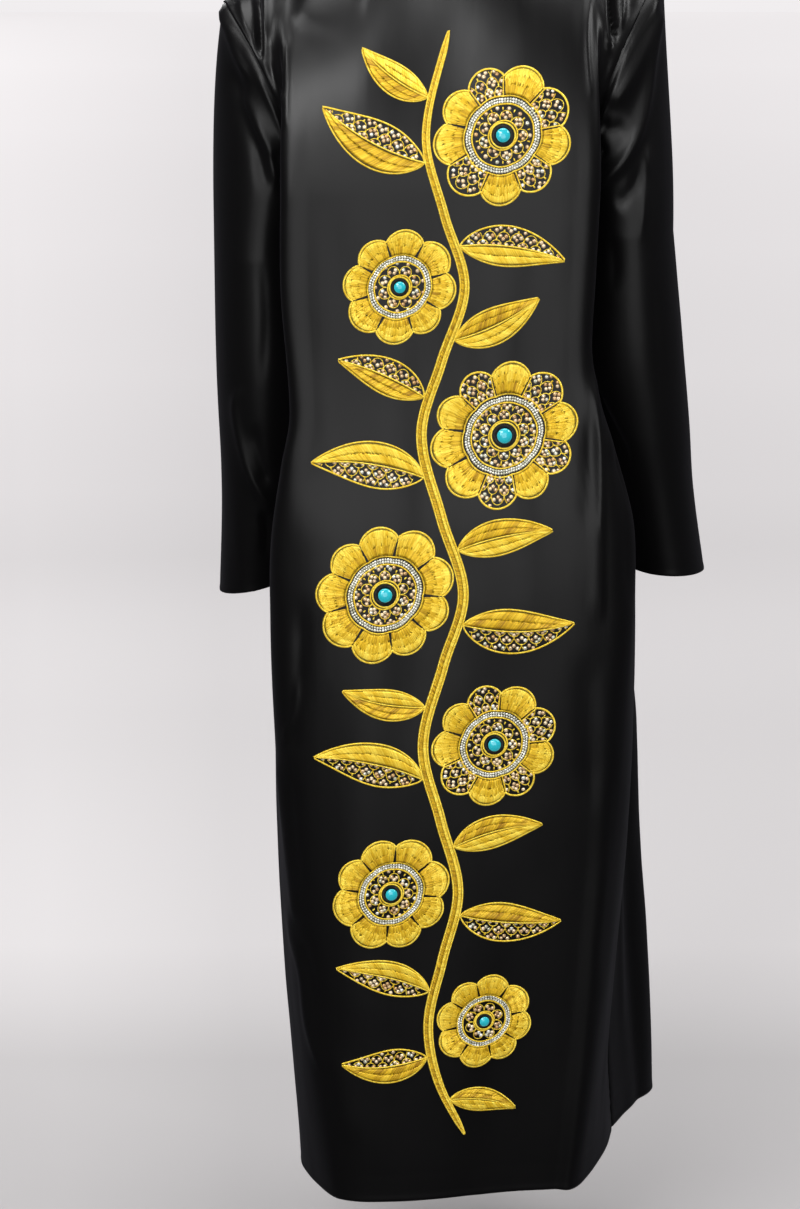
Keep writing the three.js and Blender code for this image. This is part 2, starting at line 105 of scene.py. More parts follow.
coat = {
    "length": 1282, "armpitZ": -241, "neckHalfWidth": 84, "neckBackY": 74, "neckBackDrop": 20,
    "shoulderTip": np.array([218, -2, -40.0]), "shoulderNeck": np.array([84, 8, -3.0]),
    "armholeFootX": 143, "armholeHalfDepth": 78, "tilt": 0.083, "thickness": 1.2, "seamGap": 0.3,
}
backWidths = table("z leftSide leftCorner rightCorner rightSide", [
    [-241, 142, 159, 153, 139],
    [-330, 141, 160, 149, 139],
    [-420, 143, 153, 147, 142],
    [-460, 146, 152, 157, 148],
    [-500, 151, 160, 170, 159],
    [-580, 161, 171, 190, 186],
    [-664, 170, 171, 191, 196],
    [-760, 174, 168, 186, 200],
    [-900, 172, 161, 179, 198],
    [-1060, 164, 151, 166, 188],
    [-1170, 156, 141, 156, 181],
    [-1282, 149, 129, 144, 179],
])
backDepths = table(
    "z leftSide leftCorner leftTurn leftMiddle middle rightMiddle rightTurn rightCorner rightSide", [
        [-241, 58, 110, 119, 121, 120, 118, 116, 105, 56],
        [-330, 56, 109, 117, 119, 118, 116, 114, 103, 54],
        [-420, 54, 109, 117, 119, 117, 115, 113, 102, 52],
        [-500, 52, 110, 121, 124, 121, 118, 115, 101, 48],
        [-580, 50, 108, 128, 132, 129, 124, 117, 98, 44],
        [-760, 46, 108, 131, 137, 133, 125, 117, 98, 36],
        [-1060, 42, 102, 131, 138, 132, 119, 110, 98, 22],
        [-1282, 39, 96, 131, 138, 130, 115, 106, 98, 9],
    ])
sideSeams = table("z leftX leftY rightX rightY", [
    [-241, 143, 0, 143, 0],
    [-330, 137, 0, 138, 0],
    [-420, 137, 0, 139, 0],
    [-500, 141, 0, 150, 0],
    [-600, 149, 0, 177, 0],
    [-664, 156, 0, 187, -4],
    [-760, 165, 0, 193, -14],
    [-900, 166, -2, 193, -26],
    [-1060, 159, -4, 187, -38],
    [-1170, 153, -5, 184, -47],
    [-1282, 149, -6, 192, -57],
])

# the left side is 1 and the right side is -1

frontSections = {
    1: table("z sideX sideY cornerX cornerY edgeX edgeY", [
        [-241, 136, -58, 120, -102, 80, -118],
        [-420, 135, -58, 122, -100, 84, -121],
        [-600, 147, -60, 136, -108, 86, -128],
        [-800, 163, -66, 151, -126, 88, -141],
        [-1000, 161, -80, 153, -146, 90, -160],
        [-1282, 153, -84, 148, -168, 94, -192],
    ]),
    -1: table("z sideX sideY cornerX cornerY edgeX edgeY", [
        [-241, 136, -58, 120, -102, 80, -118],
        [-420, 136, -58, 123, -100, 84, -121],
        [-600, 175, -54, 152, -108, 88, -130],
        [-700, 186, -48, 194, -104, 94, -140],
        [-813, 195, -62, 215, -122, 100, -153],
        [-996, 202, -88, 230, -147, 110, -180],
        [-1110, 208, -104, 240, -166, 118, -198],
        [-1282, 220, -118, 251, -184, 130, -222],
    ]),
}
sleeveSections = {
    1: table("z middleX middleY halfWidth halfDepth rise", [
        [-300, 186, -2, 45, 74, 0],
        [-420, 186, -8, 45, 70, 0],
        [-540, 188, -24, 41, 63, 2],
        [-650, 195, -45, 39, 57, 14],
    ]),
    -1: table("z middleX middleY halfWidth halfDepth rise", [
        [-300, 188, -2, 46, 74, 0],
        [-420, 196, -8, 52, 70, 0],
        [-500, 210, -16, 47, 65, 0],
        [-564, 223, -25, 40, 61, 2],
        [-650, 238, -35, 39, 57, 5],
    ]),
}

# places across a piece, as shares of the way from its middle or its seam

neckStation, cornerStation, frontCorner, capShare = 0.34, 0.74, 0.58, 0.2
backStations = [0, 0.09, 0.17, 0.25, 0.34, 0.44, 0.52, 0.58, 0.64, 0.69, 0.74, 0.78, 0.82, 0.86, 0.91,
                0.955, 1]
frontStations = [0, 0.075, 0.15, 0.225, 0.3, 0.38, 0.45, 0.52, 0.58, 0.64, 0.7, 0.85, 1]


def between(stations, steps):
    places = np.arange((len(stations) - 1) * steps + 1) / steps
    return np.interp(places, np.arange(len(stations)), stations)


def points(x, y, z):
    return np.stack(np.broadcast_arrays(np.asarray(x, float), y, z), axis=-1).astype(float)


def tilted(p):
    p[..., 2] -= coat["tilt"] * p[..., 0] * (1 + p[..., 2] / coat["length"])
    return p


def armhole(side, angle):
    height = (1 - np.cos(angle)) / 2
    foot, tip = coat["armholeFootX"], coat["shoulderTip"]
    return points(side * (foot + (tip[0] - foot) * height**1.75),
                  tip[1] * height + coat["armholeHalfDepth"] * np.sin(angle),
                  coat["armpitZ"] + (tip[2] - coat["armpitZ"]) * height)


def backSection(z, across):
    width = lambda name: valueAt(backWidths, name, z)
    depth = lambda name: valueAt(backDepths, name, z)
    seam = lambda name: valueAt(sideSeams, name, z)
    left, right = width("leftCorner"), width("rightCorner")
    lines = np.array([
        [-1, -seam("rightX"), seam("rightY")],
        [-0.86, -width("rightSide"), depth("rightSide")],
        [-cornerStation, -right, depth("rightCorner")],
        [-0.58, -right * 0.82, depth("rightTurn")],
        [-0.3, -right * 0.42, depth("rightMiddle")],
        [0, 0, depth("middle")],
        [0.3, left * 0.42, depth("leftMiddle")],
        [0.58, left * 0.82, depth("leftTurn")],
        [cornerStation, left, depth("leftCorner")],
        [0.86, width("leftSide"), depth("leftSide")],
        [1, seam("leftX"), seam("leftY")],
    ])
    return points(smoothCurve(lines[:, 0], lines[:, 1], across),
                  smoothCurve(lines[:, 0], lines[:, 2], across), z)


def shoulderLine(side, share):
    share = np.asarray(share, float)[..., None]
    p = coat["shoulderNeck"] * (1 - share) + coat["shoulderTip"] * share
    p[..., 0] *= side
    return p


def backTopEdge(across):
    side, station = np.where(across < 0, -1, 1), np.abs(across)
    fold = np.where(side > 0, 0.516, 0.434)
    share = np.where(station > cornerStation,
                     fold + (1 - fold) * (station - cornerStation) / (1 - cornerStation),
                     fold * (station - neckStation) / (cornerStation - neckStation))
    onShoulder = shoulderLine(side, share)
    angle = np.clip(station / neckStation, 0, 1) * math.pi / 2
    neck = coat["shoulderNeck"]
    onNeck = points(side * coat["neckHalfWidth"] * np.sin(angle),
                    neck[1] + (coat["neckBackY"] - neck[1]) * np.cos(angle),
                    neck[2] - (coat["neckBackDrop"] + neck[2]) * np.cos(angle) ** 2)
    return np.where((station >= neckStation)[..., None], onShoulder, onNeck)


def yokeLine(foot, top, middleY, height):
    leaving = np.array([0, 6, 210.0])
    arriving = points(0, 6 + 4 * (foot[..., 1] + top[..., 1]) - 8 * middleY, 60)
    return blendCurve(foot, top, leaving, arriving, height)


def tuckedTo(fold, edge, share, height, point, corner, seam):
    share = np.asarray(share)[..., None]
    tuck = point - (corner * (1 - share) + seam * share)
    return fold * (1 - share) + edge * share + tuck * (1 - height) ** 1.5


def backYoke(across, height):
    station, z = np.abs(across), coat["armpitZ"]
    side = np.where(across < 0, -1.0, 1.0)
    middleY = 100 - 10 * np.clip(station / cornerStation, 0, 1) ** 3
    flat = yokeLine(backSection(z, across), backTopEdge(across), middleY, height)
    share = np.clip((station - cornerStation) / (1 - cornerStation), 0, 1)
    corner, seam = backSection(z, side * cornerStation), backSection(z, side)
    fold = yokeLine(corner, backTopEdge(side * cornerStation), 90, height)
    edge = armhole(side, math.pi * height)
    tucked = tuckedTo(fold, edge, share, height, backSection(z, across), corner, seam)
    return np.where((station > cornerStation)[..., None], tucked, flat)


def heightToZ(height):
    return coat["armpitZ"] + height * (coat["length"] + coat["armpitZ"])


def backRow(across, height):
    return tilted(backYoke(across, height) if height > 0 else backSection(heightToZ(height), across))


def frontSection(side, z, across):
    front = lambda name: valueAt(frontSections[side], name, z)
    hand = "left" if side > 0 else "right"
    seamX, seamY = valueAt(sideSeams, hand + "X", z), valueAt(sideSeams, hand + "Y", z)
    cornerX, cornerY, edgeX, edgeY = front("cornerX"), front("cornerY"), front("edgeX"), front("edgeY")
    lines = np.array([
        [0, seamX, seamY],
        [0.3, front("sideX"), front("sideY")],
        [frontCorner, cornerX, cornerY],
        [0.68, cornerX * 0.82 + edgeX * 0.18, cornerY * 0.68 + edgeY * 0.32 - 4],
        [1, edgeX, edgeY],
    ])
    return points(side * smoothCurve(lines[:, 0], lines[:, 1], across),
                  smoothCurve(lines[:, 0], lines[:, 2], across), z)


def frontRow(side):
    def row(across, height):
        if height <= 0:
            return tilted(frontSection(side, heightToZ(height), across))
        z = coat["armpitZ"]
        rise = lambda share: yokeLine(frontSection(side, z, share), shoulderLine(side, 1 - share),
                                      -74 + 10 * (1 - share), height)
        share = np.clip(1 - across / frontCorner, 0, 1)
        fixed = lambda value: np.full_like(across, value)
        tucked = tuckedTo(rise(fixed(frontCorner)), armhole(side, fixed(-math.pi * height)), share, height,
                          frontSection(side, z, across), frontSection(side, z, fixed(frontCorner)),
                          frontSection(side, z, fixed(0)))
        return tilted(np.where((across >= frontCorner)[..., None], rise(across), tucked))
    return row


def sleeveSection(side, z, angle):
    size = lambda name: valueAt(sleeveSections[side], name, z)
    return points(side * (size("middleX") - size("halfWidth") * np.cos(angle)),
                  size("middleY") + size("halfDepth") * np.sin(angle), z + size("rise") / 2 * np.cos(angle))


def sleeveRow(side):
    firstZ, cuffZ = sleeveSections[side]["z"][[0, -1]]

    def row(angle, along):
        if along >= capShare:
            z = firstZ + (cuffZ - firstZ) * (along - capShare) / (1 - capShare)
            return tilted(sleeveSection(side, z, angle))
        top, end = armhole(side, angle), sleeveSection(side, firstZ, angle)
        top[:, 0] += side * coat["seamGap"]
        drop = np.linalg.norm(end - top, axis=1)
        flare = 0.17 if side > 0 else -0.04
        leaving = points(flare * (1 - np.cos(angle)) / 2, 0, -0.9) * drop[:, None]
        arriving = points(0, 0, -0.9 * drop)
        return tilted(blendCurve(top, end, leaving, arriving, along / capShare))
    return row


# shaders: sockets that take part in sums, and one method for every other node

class Wire:
    def __init__(self, shade, socket):
        self.shade, self.socket = shade, socket

    def sum(self, operation, other, flipped=False):
        values = [other, self] if flipped else [self, other]
        return self.shade.node("ShaderNodeMath", {"operation": operation}, {0: values[0], 1: values[1]}).out()

    def __add__(self, other):
        return self.sum("ADD", other)

    def __radd__(self, other):
        return self.sum("ADD", other, True)

    def __sub__(self, other):
        return self.sum("SUBTRACT", other)

    def __rsub__(self, other):
        return self.sum("SUBTRACT", other, True)

    def __mul__(self, other):
        return self.sum("MULTIPLY", other)

    def __rmul__(self, other):
        return self.sum("MULTIPLY", other, True)

    def __truediv__(self, other):
        return self.sum("DIVIDE", other)

    def __rtruediv__(self, other):
        return self.sum("DIVIDE", other, True)


class Step:
    def __init__(self, shade, made):
        self.shade, self.made = shade, made

    def out(self, name=0):
        return Wire(self.shade, self.made.outputs[name])


class Shade:
    def __init__(self, name):
        self.material = bpy.data.materials.new(name)
        self.material.use_nodes = True
        self.tree = self.material.node_tree
        self.tree.nodes.clear()

    def node(self, kind, settings=None, sockets=None):
        made = self.tree.nodes.new(kind)
        for key, value in (settings or {}).items():
            if key == "stops":
                self.setStops(made.color_ramp, value)
            else:
                setattr(made, key, value)
        for key, value in (sockets or {}).items():
            if isinstance(value, Wire):
                self.tree.links.new(value.socket, made.inputs[key])
            else:
                made.inputs[key].default_value = value
        return Step(self, made)

    def setStops(self, ramp, stops):
        while len(ramp.elements) < len(stops):
            ramp.elements.new(0.5)
        for element, (place, colour) in zip(ramp.elements, stops):
            element.position = place
            element.color = (*colour, 1)

    def spread(self, where, low, high, roughness=0.5, detail=2, stretch=(1, 1, 1), scale=10):
        placed = self.node("ShaderNodeMapping", {}, {"Vector": where, "Scale": stretch}).out()
        grain = self.node("ShaderNodeTexNoise", {}, {
            "Vector": placed, "Scale": scale, "Detail": detail, "Roughness": roughness}).out(0)
        return grain * (high - low) + low

    def finish(self, **sockets):
        names = {key.replace("_", " "): value for key, value in sockets.items()}
        skin = self.node("ShaderNodeBsdfPrincipled", {}, names)
        self.node("ShaderNodeOutputMaterial", {}, {"Surface": skin.out()})
        return self.material


satinLook = {"colour": (0.0018, 0.0017, 0.0018), "roughness": (0.29, 0.37), "shine": 0.24, "sheen": 0.02}


def satinMaterial(name, look):
    shade = Shade(name)
    cut = shade.node("ShaderNodeUVMap", {"uv_map": "cut"}).out()
    where = shade.node("ShaderNodeTexCoord").out("Object")
    cloudy = shade.spread(where, look["roughness"][0], look["roughness"][1], scale=9, detail=3)
    threads = shade.spread(cut, 0, 1, stretch=(1, 0.06, 1), scale=1500, detail=2)
    slubs = shade.spread(cut, 0, 1, stretch=(1, 0.05, 1), scale=260, detail=3)
    crumple = shade.spread(where, 0, 1, stretch=(1, 1, 0.5), scale=42, detail=4, roughness=0.55)
    height = threads * 0.10 + slubs * 0.14 + crumple * 0.5
    bump = shade.node("ShaderNodeBump", {}, {"Strength": 0.16, "Distance": 0.0016, "Height": height}).out()
    dye = shade.node("ShaderNodeMix", {"data_type": "RGBA"}, {
        0: cloudy, 6: (*look["colour"], 1), 7: (*(c * 1.5 for c in look["colour"]), 1)}).out(2)
    return shade.finish(Base_Color=dye, Roughness=cloudy + slubs * 0.04, Normal=bump,
                        Specular_IOR_Level=look["shine"], Sheen_Weight=look["sheen"], Sheen_Roughness=0.45,
                        Sheen_Tint=(0.8, 0.76, 0.9, 1))


# the gold ramp runs from gold in painted shadow (dark) through mid to gold in painted highlight (light); each
# stitch's tint picks its place on it
threadLook = {"dark": (0.30, 0.145, 0.004), "mid": (0.76, 0.50, 0.016), "light": (1.0, 0.82, 0.12),
              "metallic": 0.35, "roughness": (0.30, 0.44)}


def threadMaterial(name, look):
    shade = Shade(name)
    tint = shade.node("ShaderNodeAttribute", {"attribute_name": "tint"}).out("Fac")
    where = shade.node("ShaderNodeTexCoord").out("Object")
    dye = shade.node("ShaderNodeValToRGB", {
        "stops": [(0.0, look["dark"]), (0.45, look["mid"]), (1.0, look["light"])]}, {0: tint}).out()
    twist = shade.spread(where, 0, 1, scale=2200, detail=1)
    bump = shade.node("ShaderNodeBump", {}, {"Strength": 0.25, "Distance": 0.0004, "Height": twist}).out()
    low, high = look["roughness"]
    return shade.finish(Base_Color=dye, Metallic=look["metallic"], Roughness=twist * (high - low) + low,
                        Normal=bump)


def foilMaterial(name, dark, light, roughness):
    shade = Shade(name)
    tint = shade.node("ShaderNodeAttribute", {"attribute_name": "tint"}).out("Fac")
    dye = shade.node("ShaderNodeValToRGB", {"stops": [(0, dark), (1, light)]}, {0: tint}).out()
    return shade.finish(Base_Color=dye, Metallic=0.5, Roughness=tint * 0.12 + roughness)


def beadMaterial(name, colour):
    shade = Shade(name)
    where = shade.node("ShaderNodeTexCoord").out("Object")
    vein = shade.spread(where, 0.6, 1.25, scale=700, detail=3)
    dye = shade.node("ShaderNodeMix", {"data_type": "RGBA"}, {
        0: vein, 6: (colour[0] * 0.4, colour[1] * 0.5, colour[2] * 0.5, 1), 7: (*colour, 1)}).out(2)
    return shade.finish(Base_Color=dye, Roughness=0.12 + vein * 0.05, Coat_Weight=0.6, Coat_Roughness=0.05)


bodySatin = satinMaterial("body_satin", satinLook)
sleeveSatin = satinMaterial("sleeve_satin", {**satinLook, "roughness": (0.32, 0.40), "shine": 0.20})
goldThread = threadMaterial("gold_thread", threadLook)
darkThread = threadMaterial("dark_thread", {
    **threadLook, "dark": (0.004, 0.004, 0.004), "mid": (0.008, 0.007, 0.006), "light": (0.02, 0.016, 0.01),
    "metallic": 0.0})
roseSequin = foilMaterial("rose_gold_sequins", (0.55, 0.30, 0.10), (1.0, 0.84, 0.58), 0.20)
silverSequin = foilMaterial("silver_sequins", (0.50, 0.49, 0.34), (1.0, 1.0, 0.92), 0.12)
turquoise = beadMaterial("turquoise_beads", (0.02, 0.42, 0.50))
print("materials ready")


# cloth: a grid laid along the coat's own rows, with its folds pressed in, and a wall's thickness

def spans(grid, axis):
    steps = np.linalg.norm(np.diff(grid, axis=axis), axis=2)
    start = np.zeros_like(np.take(grid[..., 0], [0], axis=axis))
    return np.concatenate([start, np.cumsum(steps, axis=axis)], axis=axis)


def outwardOf(grid, closed):
    wide = np.concatenate([grid[:, -2:-1], grid, grid[:, 1:2]], axis=1) if closed else grid
    acrossWay = np.gradient(wide, axis=1)[:, 1:-1] if closed else np.gradient(wide, axis=1)
    way = np.cross(acrossWay, np.gradient(grid, axis=0))
    return way / np.linalg.norm(way, axis=2, keepdims=True)


# where each point stands in the camera's frame, across and down
def frameSpots(grid):
    tilt = math.radians(lensSettings["downTilt"])
    away = grid - np.array(lensSettings["place"]) / mm
    deep = -away[..., 1] * math.cos(tilt) - away[..., 2] * math.sin(tilt)
    high = away[..., 2] * math.cos(tilt) - away[..., 1] * math.sin(tilt)
    zoom = lensSettings["focalLength"] / lensSettings["sensorWidth"] * frameSize[1] / deep
    return np.stack([frameSize[0] / 2 - away[..., 0] * zoom, frameSize[1] / 2 - high * zoom], axis=-1)


def noiseField(grid, size, seed):
    scaled = grid.reshape(-1, 3) / size + seed
    return np.array([noise.noise(Vector(p)) for p in scaled]).reshape(grid.shape[:2])


def foldPush(fold, across, arc, levels):
    path = np.array(sorted(fold["path"]), float)
    low, high, ends = path[0, 0], path[-1, 0], fold["ends"]
    middle = smoothCurve(path[:, 0], path[:, 1], levels)
    fade = smoothStep(low - ends, low, levels) * (1 - smoothStep(high, high + ends, levels))
    place = np.array([np.interp(at, across, row) for at, row in zip(middle, arc)])
    away = (arc - place[:, None]) / fold["width"]
    return fold["height"] * fade[:, None] * np.exp(-np.abs(away) ** 1.8)


# a fold drawn in the camera's frame: a line of places, and a width to its left and right
seenColumns = "line left right height start end"
# a fold drawn on the piece: a path of heights and places across
foldColumns = "path width height ends"


def seenPush(fold, spots):
    keys = np.array(fold["line"], float)
    at = np.linspace(0, len(keys) - 1, 14 * len(keys))
    line = np.stack([smoothCurve(np.arange(len(keys)), keys[:, k], at) for k in (0, 1)], axis=1)
    gap = spots[..., None, :] - line
    near = np.hypot(gap[..., 0], gap[..., 1]).argmin(axis=-1)
    gap = np.take_along_axis(gap, near[..., None, None], axis=2)[..., 0, :]
    way = np.gradient(line, axis=0)
    way = (way / np.linalg.norm(way, axis=1, keepdims=True))[near]
    beside = way[..., 0] * gap[..., 1] - way[..., 1] * gap[..., 0]
    ahead = (way * gap).sum(axis=-1)
    reach = np.concatenate([[0], np.cumsum(np.linalg.norm(np.diff(line, axis=0), axis=1))])
    step = np.gradient(reach)[near]
    far = np.hypot(beside, np.maximum(np.abs(ahead) - step, 0))
    place = reach[near] + np.clip(ahead, -step, step)
    width = np.where(beside > 0, fold["left"], fold["right"])
    start, end = max(fold["start"], 0.01), max(fold["end"], 0.01)
    fade = smoothStep(0, start, place) * smoothStep(0, end, reach[-1] - place)
    return fold["height"] * fade * np.exp(-(far / width) ** 1.8)


def mound(away, at, width):
    return np.exp(-((away - at) / width) ** 2)


clothLook = {
    "turnsAway": 0.3, "waveSize": (70, 70, 360), "rippleSize": (22, 22, 64), "puckerSize": (9, 9, 9),
    "pinned": (0.5, 10), "pucker": 0.9, "puckerAt": 8, "groove": 0.9, "grooveWidth": 3.2,
    "hemRoll": 0.4, "hemRollAt": 2, "hemGroove": 0.08, "hemGrooveAt": 30, "hemWidth": 3,
    "tuckedIn": 2, "tuckedUnder": 0.7,
}


def pressedFolds(grid, across, spec, look):
    arc, down = spans(grid, 1), spans(grid, 0)
    levels = grid[..., 2].mean(axis=1)
    outward = outwardOf(grid, spec["closed"])
    toCamera = np.array(lensSettings["place"]) / mm - grid
    facing = (outward * toCamera).sum(axis=2) / np.linalg.norm(toCamera, axis=2)
    spots = frameSpots(grid)
    push = sum(seenPush(fold, spots) for fold in spec["seenFolds"]) * smoothStep(0, look["turnsAway"], facing)
    push += sum(foldPush(fold, across, arc, levels) for fold in spec["folds"])
    push += spec["wave"] * noiseField(grid, look["waveSize"], spec["seed"])
    push += spec["ripple"] * noiseField(grid, look["rippleSize"], spec["seed"] + 5.5)
    pucker = noiseField(grid, look["puckerSize"], spec["seed"] + 9.5)
    edges = {"left": arc - arc[:, :1], "right": arc[:, -1:] - arc, "top": down, "hem": down[-1:] - down}
    for name in spec["seams"]:
        away = edges[name]
        push *= smoothStep(*look["pinned"], away)
        push += look["pucker"] * pucker * mound(away, look["puckerAt"], look["puckerAt"])
        push -= look["groove"] * mound(away, 0, look["grooveWidth"])
    for roll in spec.get("rolls", []):
        push += roll["height"] * mound(down, roll["at"], roll["width"])
    push += look["hemRoll"] * mound(edges["hem"], look["hemRollAt"], look["hemWidth"])
    push -= look["hemGroove"] * mound(edges["hem"], look["hemGrooveAt"], look["hemWidth"])
    zero = int(np.argmin(np.abs(across - spec["zero"])))
    flat = np.stack([arc - arc[:, [zero]], -down], axis=2) * mm
    places = grid + outward * push[..., None]
    if "tucked" in spec:
        edge, beside = spec["tucked"]
        way = grid[:, edge] - grid[:, beside]
        way /= np.linalg.norm(way, axis=1, keepdims=True)
        places[:, edge] += way * look["tuckedIn"] - outward[:, edge] * look["tuckedUnder"]
    places[0] += [spec.get("setIn", 0), 0, 0]
    return places * mm, flat


def layGrid(places, flat, closed):
    lines, columns = places.shape[:2]
    cloth = bmesh.new()
    bmesh.ops.create_grid(cloth, x_segments=columns - 1, y_segments=lines - 1, size=0.5)
    cut = cloth.loops.layers.uv.new("cut")
    spots = {}
    for vert in cloth.verts:
        i, j = round((vert.co.y + 0.5) * (lines - 1)), round((vert.co.x + 0.5) * (columns - 1))
        vert.co, spots[vert] = places[i, j], flat[i, j]
    for face in cloth.faces:
        for loop in face.loops:
            loop[cut].uv = spots[loop.vert]
    if closed:
        bmesh.ops.remove_doubles(cloth, verts=cloth.verts, dist=1e-6)
    cloth.normal_update()
    return cloth


def addPiece(name, shape, materials):
    data = bpy.data.meshes.new(name)
    shape.to_mesh(data)
    shape.free()
    data.shade_smooth()
    for material in materials:
        data.materials.append(material)
    piece = bpy.data.objects.new(name, data)
    scene.collection.objects.link(piece)
    return piece


def hangCloth(name, node, row, across, heights, spec):
    grid = np.array([row(across, height) for height in heights])
    places, flat = pressedFolds(grid, across, spec, clothLook)
    cloth = layGrid(places, flat, spec["closed"])
    area = sum(face.calc_area() for face in cloth.faces)
    tree = BVHTree.FromBMesh(cloth)
    piece = addPiece(name, cloth, [spec["material"]])
    wall = piece.modifiers.new("wall", "SOLIDIFY")
    wall.thickness = coat["thickness"] * mm
    wall.offset = -1
    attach(piece, "root")
    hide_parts(node)
    print("hung", name, "area", round(area, 4), "widest", round(float(np.ptp(flat[..., 0], axis=1).max()), 3),
          "longest", round(float(np.ptp(flat[..., 1], axis=0).max()), 3))
    return tree


bodyHeights = np.concatenate([np.linspace(1, 0, 51), np.linspace(0, -0.96, 176)[1:],
                              np.linspace(-0.96, -1, 16)[1:]])
backSpec = {
    "material": bodySatin, "slot": "satin_body", "cut": (0.60, 1.37), "cutArea": 0.707,
    "zero": 0.0, "seams": ("left", "right", "top"), "closed": False, "wave": 3.2, "ripple": 0.4, "seed": 1.5,
    "seenFolds": listOf(seenColumns, [
        ([(256, -14), (258, 20), (259, 45), (258, 68)], 3.2, 3.2, -12, 0, 22),
        ([(265, -14), (265, 25), (262, 52), (258, 76)], 4, 4, 4, 5, 12),
        ([(239, -8), (243, 20), (249, 46)], 4, 6, 3, 8, 16),
        ([(272, 40), (271, 75), (276, 100)], 5, 5, -2.5, 20, 8),
        ([(284, 92), (280, 103), (277, 113)], 2.5, 2.5, 2.5, 4, 4),
        ([(288, 30), (287, 80), (286, 128)], 3, 3, 1.6, 20, 10),
        ([(310, -14), (307, 5), (298, 32)], 11, 24, 3, 0, 20),
        ([(592, -14), (588, 20), (588, 55), (592, 98)], 3, 3, 1.6, 0, 14),
        ([(611, -14), (612, 15), (614, 33), (615, 50)], 3.2, 3.2, -13, 0, 22),
        ([(605, -14), (607, 20), (611, 56)], 4, 5, 4, 5, 16),
        ([(622, -14), (622, 12), (618, 34)], 4, 4, 4, 5, 12),
        ([(592, 340), (595, 386), (599, 424), (601, 470), (600, 560), (601, 626)], 4, 3, 2.6, 40, 30),
        ([(612, 440), (622, 490), (628, 550), (630, 620)], 8, 7, -3, 30, 50),
        ([(591, 400), (590, 470), (590, 540)], 6, 6, -1.6, 40, 40),
        ([(302, 590), (300, 660), (294, 716), (289, 756)], 9, 8, -3, 50, 20),
        ([(299, 672), (294, 712), (283, 742)], 3, 3, 2.6, 25, 10),
        ([(275, 750), (281, 800), (288, 860), (296, 925)], 4, 6, 2.4, 25, 20),
        ([(290, 770), (292, 830), (300, 900)], 7, 8, -2.4, 30, 30),
        ([(279, 896), (290, 935), (301, 975), (307, 1024), (325, 1080)], 4, 5, 2.8, 25, 40),
        ([(300, 930), (312, 985), (322, 1030)], 7, 9, -2.4, 30, 40),
        ([(331, 1040), (342, 1090), (350, 1150)], 8, 10, 1.8, 40, 30),
        ([(634, 700), (631, 770), (625, 890), (612, 1010), (607, 1070)], 4, 6, 2.4, 60, 40),
        ([(618, 760), (613, 880), (600, 1000)], 8, 9, -2.2, 60, 60),
        ([(590, 640), (588, 720), (593, 820)], 10, 10, -1.8, 50, 60),
    ]),
    "folds": listOf(foldColumns, [
        ([(-330, 0.12), (-520, 0.05), (-700, 0.10)], 26, -2.5, 140),
        ([(-340, -0.30), (-480, -0.26), (-640, -0.30)], 22, 2.0, 120),
        ([(-760, -0.20), (-960, -0.28), (-1180, -0.24)], 24, -2.2, 120),
        ([(-700, 0.30), (-960, 0.36), (-1200, 0.33)], 26, 2.2, 120),
    ]),
}
backAcross = np.concatenate([between(backStations[:8], 2), between(backStations[7:], 5)[1:]])
backTree = hangCloth("back_panel", "back", backRow, np.concatenate([-backAcross[::-1], backAcross[1:]]),
                     bodyHeights, backSpec)

frontSpec = {"material": bodySatin, "slot": "satin_body", "closed": False, "zero": 0.0, "wave": 3.2,
             "ripple": 0.4, "seenFolds": []}
leftFrontSpec = {
    **frontSpec, "cut": (0.23, 1.33), "cutArea": 0.222, "seams": ("left", "top"), "tucked": (0, 1),
    "seed": 21.5,
    "folds": listOf(foldColumns, [
        ([(-160, 0.62), (-420, 0.66), (-760, 0.70)], 14, -5, 120),
        ([(-190, 0.50), (-330, 0.54), (-520, 0.58)], 9, 3.5, 80),
        ([(-480, 0.45), (-820, 0.42), (-1240, 0.46)], 16, 5, 120),
        ([(-640, 0.84), (-960, 0.80), (-1270, 0.82)], 18, -5, 160),
        ([(-720, 0.30), (-1000, 0.28), (-1270, 0.30)], 11, -4, 100),
        ([(-860, 0.66), (-1060, 0.63), (-1270, 0.66)], 10, 4, 90),
    ]),
}
rightFrontSpec = {
    **frontSpec, "cut": (0.28, 1.37), "cutArea": 0.25, "seams": ("right", "top"), "tucked": (-1, -2),
    "seed": 33.5,
    "folds": listOf(foldColumns, [
        ([(-150, -0.60), (-380, -0.68), (-700, -0.74)], 14, -5, 110),
        ([(-200, -0.48), (-360, -0.52), (-500, -0.50)], 9, 3.5, 80),
        ([(-560, -0.40), (-900, -0.36), (-1260, -0.38)], 15, -4, 140),
        ([(-700, -0.78), (-1000, -0.82), (-1270, -0.80)], 20, 6, 160),
        ([(-480, -0.20), (-760, -0.22), (-1100, -0.24)], 11, 3, 120),
        ([(-900, -0.60), (-1100, -0.62), (-1270, -0.60)], 11, -4, 90),
    ]),
}
frontAcross = between(frontStations, 3)
leftHang, rightHang = frontRow(1), frontRow(-1)
hangCloth("front_panel_left", "front_left", leftHang, frontAcross, bodyHeights, leftFrontSpec)
hangCloth("front_panel_right", "front_right", lambda across, height: rightHang(-across, height),
          -frontAcross[::-1], bodyHeights, rightFrontSpec)

